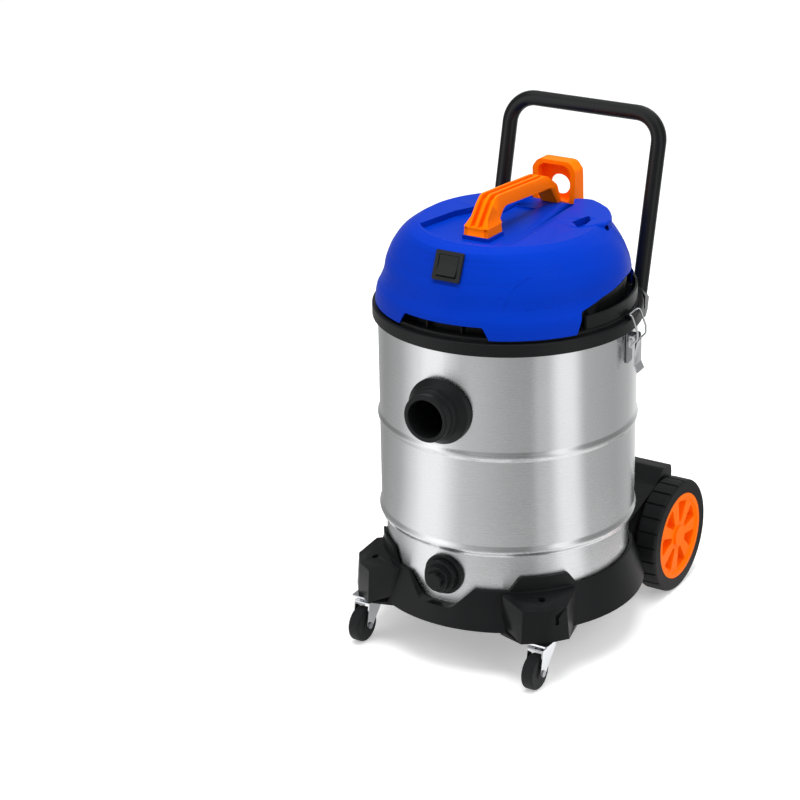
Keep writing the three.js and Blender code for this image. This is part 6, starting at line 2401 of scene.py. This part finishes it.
@dataclass
class Studio:
    """The pale floor, the soft light and the camera."""

    centre_y: float
    look_z: float = 0.337
    lamp_aim_z: float = 0.35
    distance: float = 3.15
    azimuth: float = 30
    elevation: float = 22
    lens: float = 100.8
    shift_x: float = -0.135
    floor_size: float = 14
    floor_colour: str = "#F4F4F4"
    soft_light: float = 0.62
    floor_glow: float = 0.34
    tent_inner: float = 0.34
    tent_lift: float = 0.003
    tent_outer: float = 1.7
    tent_height: float = 2.6
    tent_sharpening: tuple[float, float, float, float] = (0.1, 0.8, 1.0, 2.2)
    # Degrees round from the machine's front towards its right, and the brightness there
    tent_tones: tuple[tuple[float, float], ...] = (
        (-180, 1.0),
        (-140, 0.6),
        (-100, 0.38),
        (-70, 0.55),
        (-42, 1.25),
        (-26, 1.25),
        (-8, 0.75),
        (30, 0.52),
        (48, 0.46),
        (52, 0.68),
        (62, 0.7),
        (70, 1.15),
        (84, 1.18),
        (94, 0.6),
        (130, 0.5),
        (155, 0.6),
        (180, 1.0),
    )

    def camera(self) -> None:
        """Sets the camera at the photograph's viewing angle."""
        data = bpy.data.cameras.new("camera")
        data.lens = self.lens
        data.sensor_width = 36
        data.shift_x = self.shift_x
        obj = placed(data, "camera")
        turn, rise = math.radians(self.azimuth), math.radians(self.elevation)
        away = Vector(
            (math.sin(turn) * math.cos(rise), -math.cos(turn) * math.cos(rise), math.sin(rise))
        )
        obj.location = Vector((0, self.centre_y, self.look_z)) + away * self.distance
        obj.rotation_euler = (math.pi / 2 - rise, 0, turn)
        bpy.context.scene.camera = obj

    def lamp(
        self, name: str, place: tuple[float, float, float], size: float, power: float
    ) -> None:
        """Adds a soft lamp that looks at the machine.

        Args:
            name: Its name.
            place: Where it stands, in metres.
            size: Its width and height.
            power: Its power in watts.
        """
        data = bpy.data.lights.new(name, "AREA")
        data.energy = power
        data.shape = "RECTANGLE"
        data.size = size
        data.size_y = size
        obj = placed(data, name)
        obj.location = place
        obj.visible_glossy = False
        aim = Vector((0, 0, self.lamp_aim_z)) - Vector(place)
        obj.rotation_euler = aim.to_track_quat("-Z", "Y").to_euler()

    def seen(self, tree: bpy.types.NodeTree) -> bpy.types.NodeSocket:
        """Tells what is looked at, straight or by gloss or glass, from what only gives light.

        Args:
            tree: The node tree that asks.

        Returns:
            A socket that is 1 where it is looked at.
        """
        path = add_node(tree, "ShaderNodeLightPath")
        seen = path.outputs["Is Camera Ray"]
        for ray in ("Is Glossy Ray", "Is Transmission Ray"):
            seen = add_node(
                tree, "ShaderNodeMath", {"operation": "MAXIMUM"}, {0: seen, 1: path.outputs[ray]}
            ).outputs[0]
        return seen

    def surroundings(self) -> None:
        """Lights the world softly and shows it white to the camera and to gloss."""
        world = bpy.data.worlds.new("studio")
        bpy.context.scene.world = world
        world.use_nodes = True
        tree = world.node_tree
        tree.nodes.clear()
        soft, bright = (
            add_node(tree, "ShaderNodeBackground", {"Color": (1, 1, 1, 1), "Strength": strength})
            for strength in (self.soft_light, 1.0)
        )
        mix = add_node(
            tree,
            "ShaderNodeMixShader",
            links={0: self.seen(tree), 1: soft.outputs[0], 2: bright.outputs[0]},
        )
        add_node(tree, "ShaderNodeOutputWorld", links={"Surface": mix.outputs[0]})

    def floor(self) -> None:
        """Lays the pale floor."""
        bm = bmesh.new()
        bmesh.ops.create_grid(bm, x_segments=1, y_segments=1, size=self.floor_size)
        mesh = bpy.data.meshes.new("floor")
        bm.to_mesh(mesh)
        bm.free()
        material, tree = new_material("studio_floor")
        paint = add_node(
            tree,
            "ShaderNodeBsdfPrincipled",
            {"Base Color": linear(self.floor_colour), "Roughness": 0.9},
        )
        glow = add_node(
            tree, "ShaderNodeEmission", {"Color": (1, 1, 1, 1), "Strength": self.floor_glow}
        )
        both = add_node(
            tree, "ShaderNodeAddShader", links={0: paint.outputs["BSDF"], 1: glow.outputs[0]}
        )
        mix = add_node(
            tree,
            "ShaderNodeMixShader",
            links={0: self.seen(tree), 1: paint.outputs["BSDF"], 2: both.outputs[0]},
        )
        add_node(tree, "ShaderNodeOutputMaterial", links={"Surface": mix.outputs[0]})
        mesh.materials.append(material)
        placed(mesh, "floor")

    def tent(self) -> None:
        """Stands light and dark cards round the machine for its metal and gloss to mirror."""
        bm = bmesh.new()
        steps = 120
        low, high, outer = self.tent_lift, self.tent_height, self.tent_outer
        line = [(self.tent_inner, low), (outer, low), (outer, high)]
        turns = [math.tau * i / steps for i in range(steps)]
        rings = [
            [bm.verts.new((r * math.sin(t), -r * math.cos(t), z)) for t in turns] for r, z in line
        ]
        for low, high in zip(rings, rings[1:]):
            for i in range(steps):
                j = (i + 1) % steps
                bm.faces.new((low[i], low[j], high[j], high[i]))
        mesh = bpy.data.meshes.new("cards")
        bm.to_mesh(mesh)
        bm.free()
        material, tree = new_material("studio_cards")
        place = add_node(tree, "ShaderNodeTexCoord").outputs["Object"]
        split = add_node(tree, "ShaderNodeSeparateXYZ", links={0: place})
        back = add_node(
            tree, "ShaderNodeMath", {"operation": "MULTIPLY", 1: -1.0}, {0: split.outputs["Y"]}
        )
        turn = add_node(
            tree,
            "ShaderNodeMath",
            {"operation": "ARCTAN2"},
            {0: split.outputs["X"], 1: back.outputs[0]},
        )
        share = add_node(
            tree,
            "ShaderNodeMapRange",
            {1: -math.pi, 2: math.pi, 3: 0.0, 4: 1.0},
            {0: turn.outputs[0]},
        )
        tones = add_node(tree, "ShaderNodeFloatCurve", {"Factor": 1.0}, {"Value": share.outputs[0]})
        peak = max(tone for _, tone in self.tent_tones)
        curve = tones.mapping.curves[0]
        spots = [((angle + 180) / 360, tone / peak) for angle, tone in self.tent_tones]
        for point, spot in zip((curve.points[0], curve.points[-1]), (spots[0], spots[-1])):
            point.location = spot
        for spot in spots[1:-1]:
            curve.points.new(*spot)
        for point in curve.points:
            point.handle_type = "VECTOR"
        tones.mapping.update()
        power = add_node(
            tree, "ShaderNodeMath", {"operation": "MULTIPLY", 1: peak}, {0: tones.outputs[0]}
        )
        rise = add_node(
            tree,
            "ShaderNodeMapRange",
            dict(enumerate(self.tent_sharpening, 1)),
            {0: split.outputs["Z"]},
        )
        sharp = add_node(
            tree,
            "ShaderNodeMath",
            {"operation": "POWER"},
            {0: power.outputs[0], 1: rise.outputs[0]},
        )
        glow = add_node(
            tree, "ShaderNodeEmission", {"Color": (1, 1, 1, 1)}, {"Strength": sharp.outputs[0]}
        )
        add_node(tree, "ShaderNodeOutputMaterial", links={"Surface": glow.outputs[0]})
        mesh.materials.append(material)
        obj = placed(mesh, "cards")
        for ray in ("camera", "diffuse", "shadow", "transmission", "volume_scatter"):
            setattr(obj, f"visible_{ray}", False)

    def build(self) -> None:
        """Sets up the whole studio."""
        self.camera()
        self.surroundings()
        self.floor()
        self.tent()
        self.lamp("key", (-1.6, -1.8, 2.4), 1.6, 9)
        self.lamp("fill", (2.4, -0.6, 1.8), 1.4, 17)
        self.lamp("top", (0.1, -0.4, 3.1), 2.0, 78)
        bpy.context.scene.view_settings.view_transform = "Standard"


def machine_parts() -> list[Callable[[Bench], None]]:
    """Sets out the sub-assemblies in the order that they are built.

    Returns:
        The build method of each.
    """
    drum = Drum()
    handle = PushHandle()
    latch = Latch(drum)
    switch = Switch()
    lid = Lid(switch)
    parts = [
        drum,
        handle,
        Band(drum, handle),
        Base(drum),
        RearWheel(),
        Caster(),
        Ports(drum),
        latch,
        HeadBase(latch),
        switch,
        lid,
        CarryHandle(lid),
        CableHook(lid),
        Inside(),
    ]
    return [part.build for part in parts]


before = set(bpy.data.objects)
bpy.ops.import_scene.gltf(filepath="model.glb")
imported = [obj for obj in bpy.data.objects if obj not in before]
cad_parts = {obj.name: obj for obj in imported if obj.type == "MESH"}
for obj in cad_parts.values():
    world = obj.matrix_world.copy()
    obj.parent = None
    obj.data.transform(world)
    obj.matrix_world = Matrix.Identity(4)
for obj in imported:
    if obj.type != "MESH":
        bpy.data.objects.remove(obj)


def main() -> None:
    """Builds the studio and the machine."""
    logging.basicConfig(level=logging.INFO, format="%(name)s: %(message)s")
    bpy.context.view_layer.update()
    low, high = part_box("tank_drum")
    centre_y = (low[1] + high[1]) / 2
    Studio(centre_y).build()
    bench = Bench(centre_y)
    for build in machine_parts():
        build(bench)


if __name__ == "__main__":
    main()
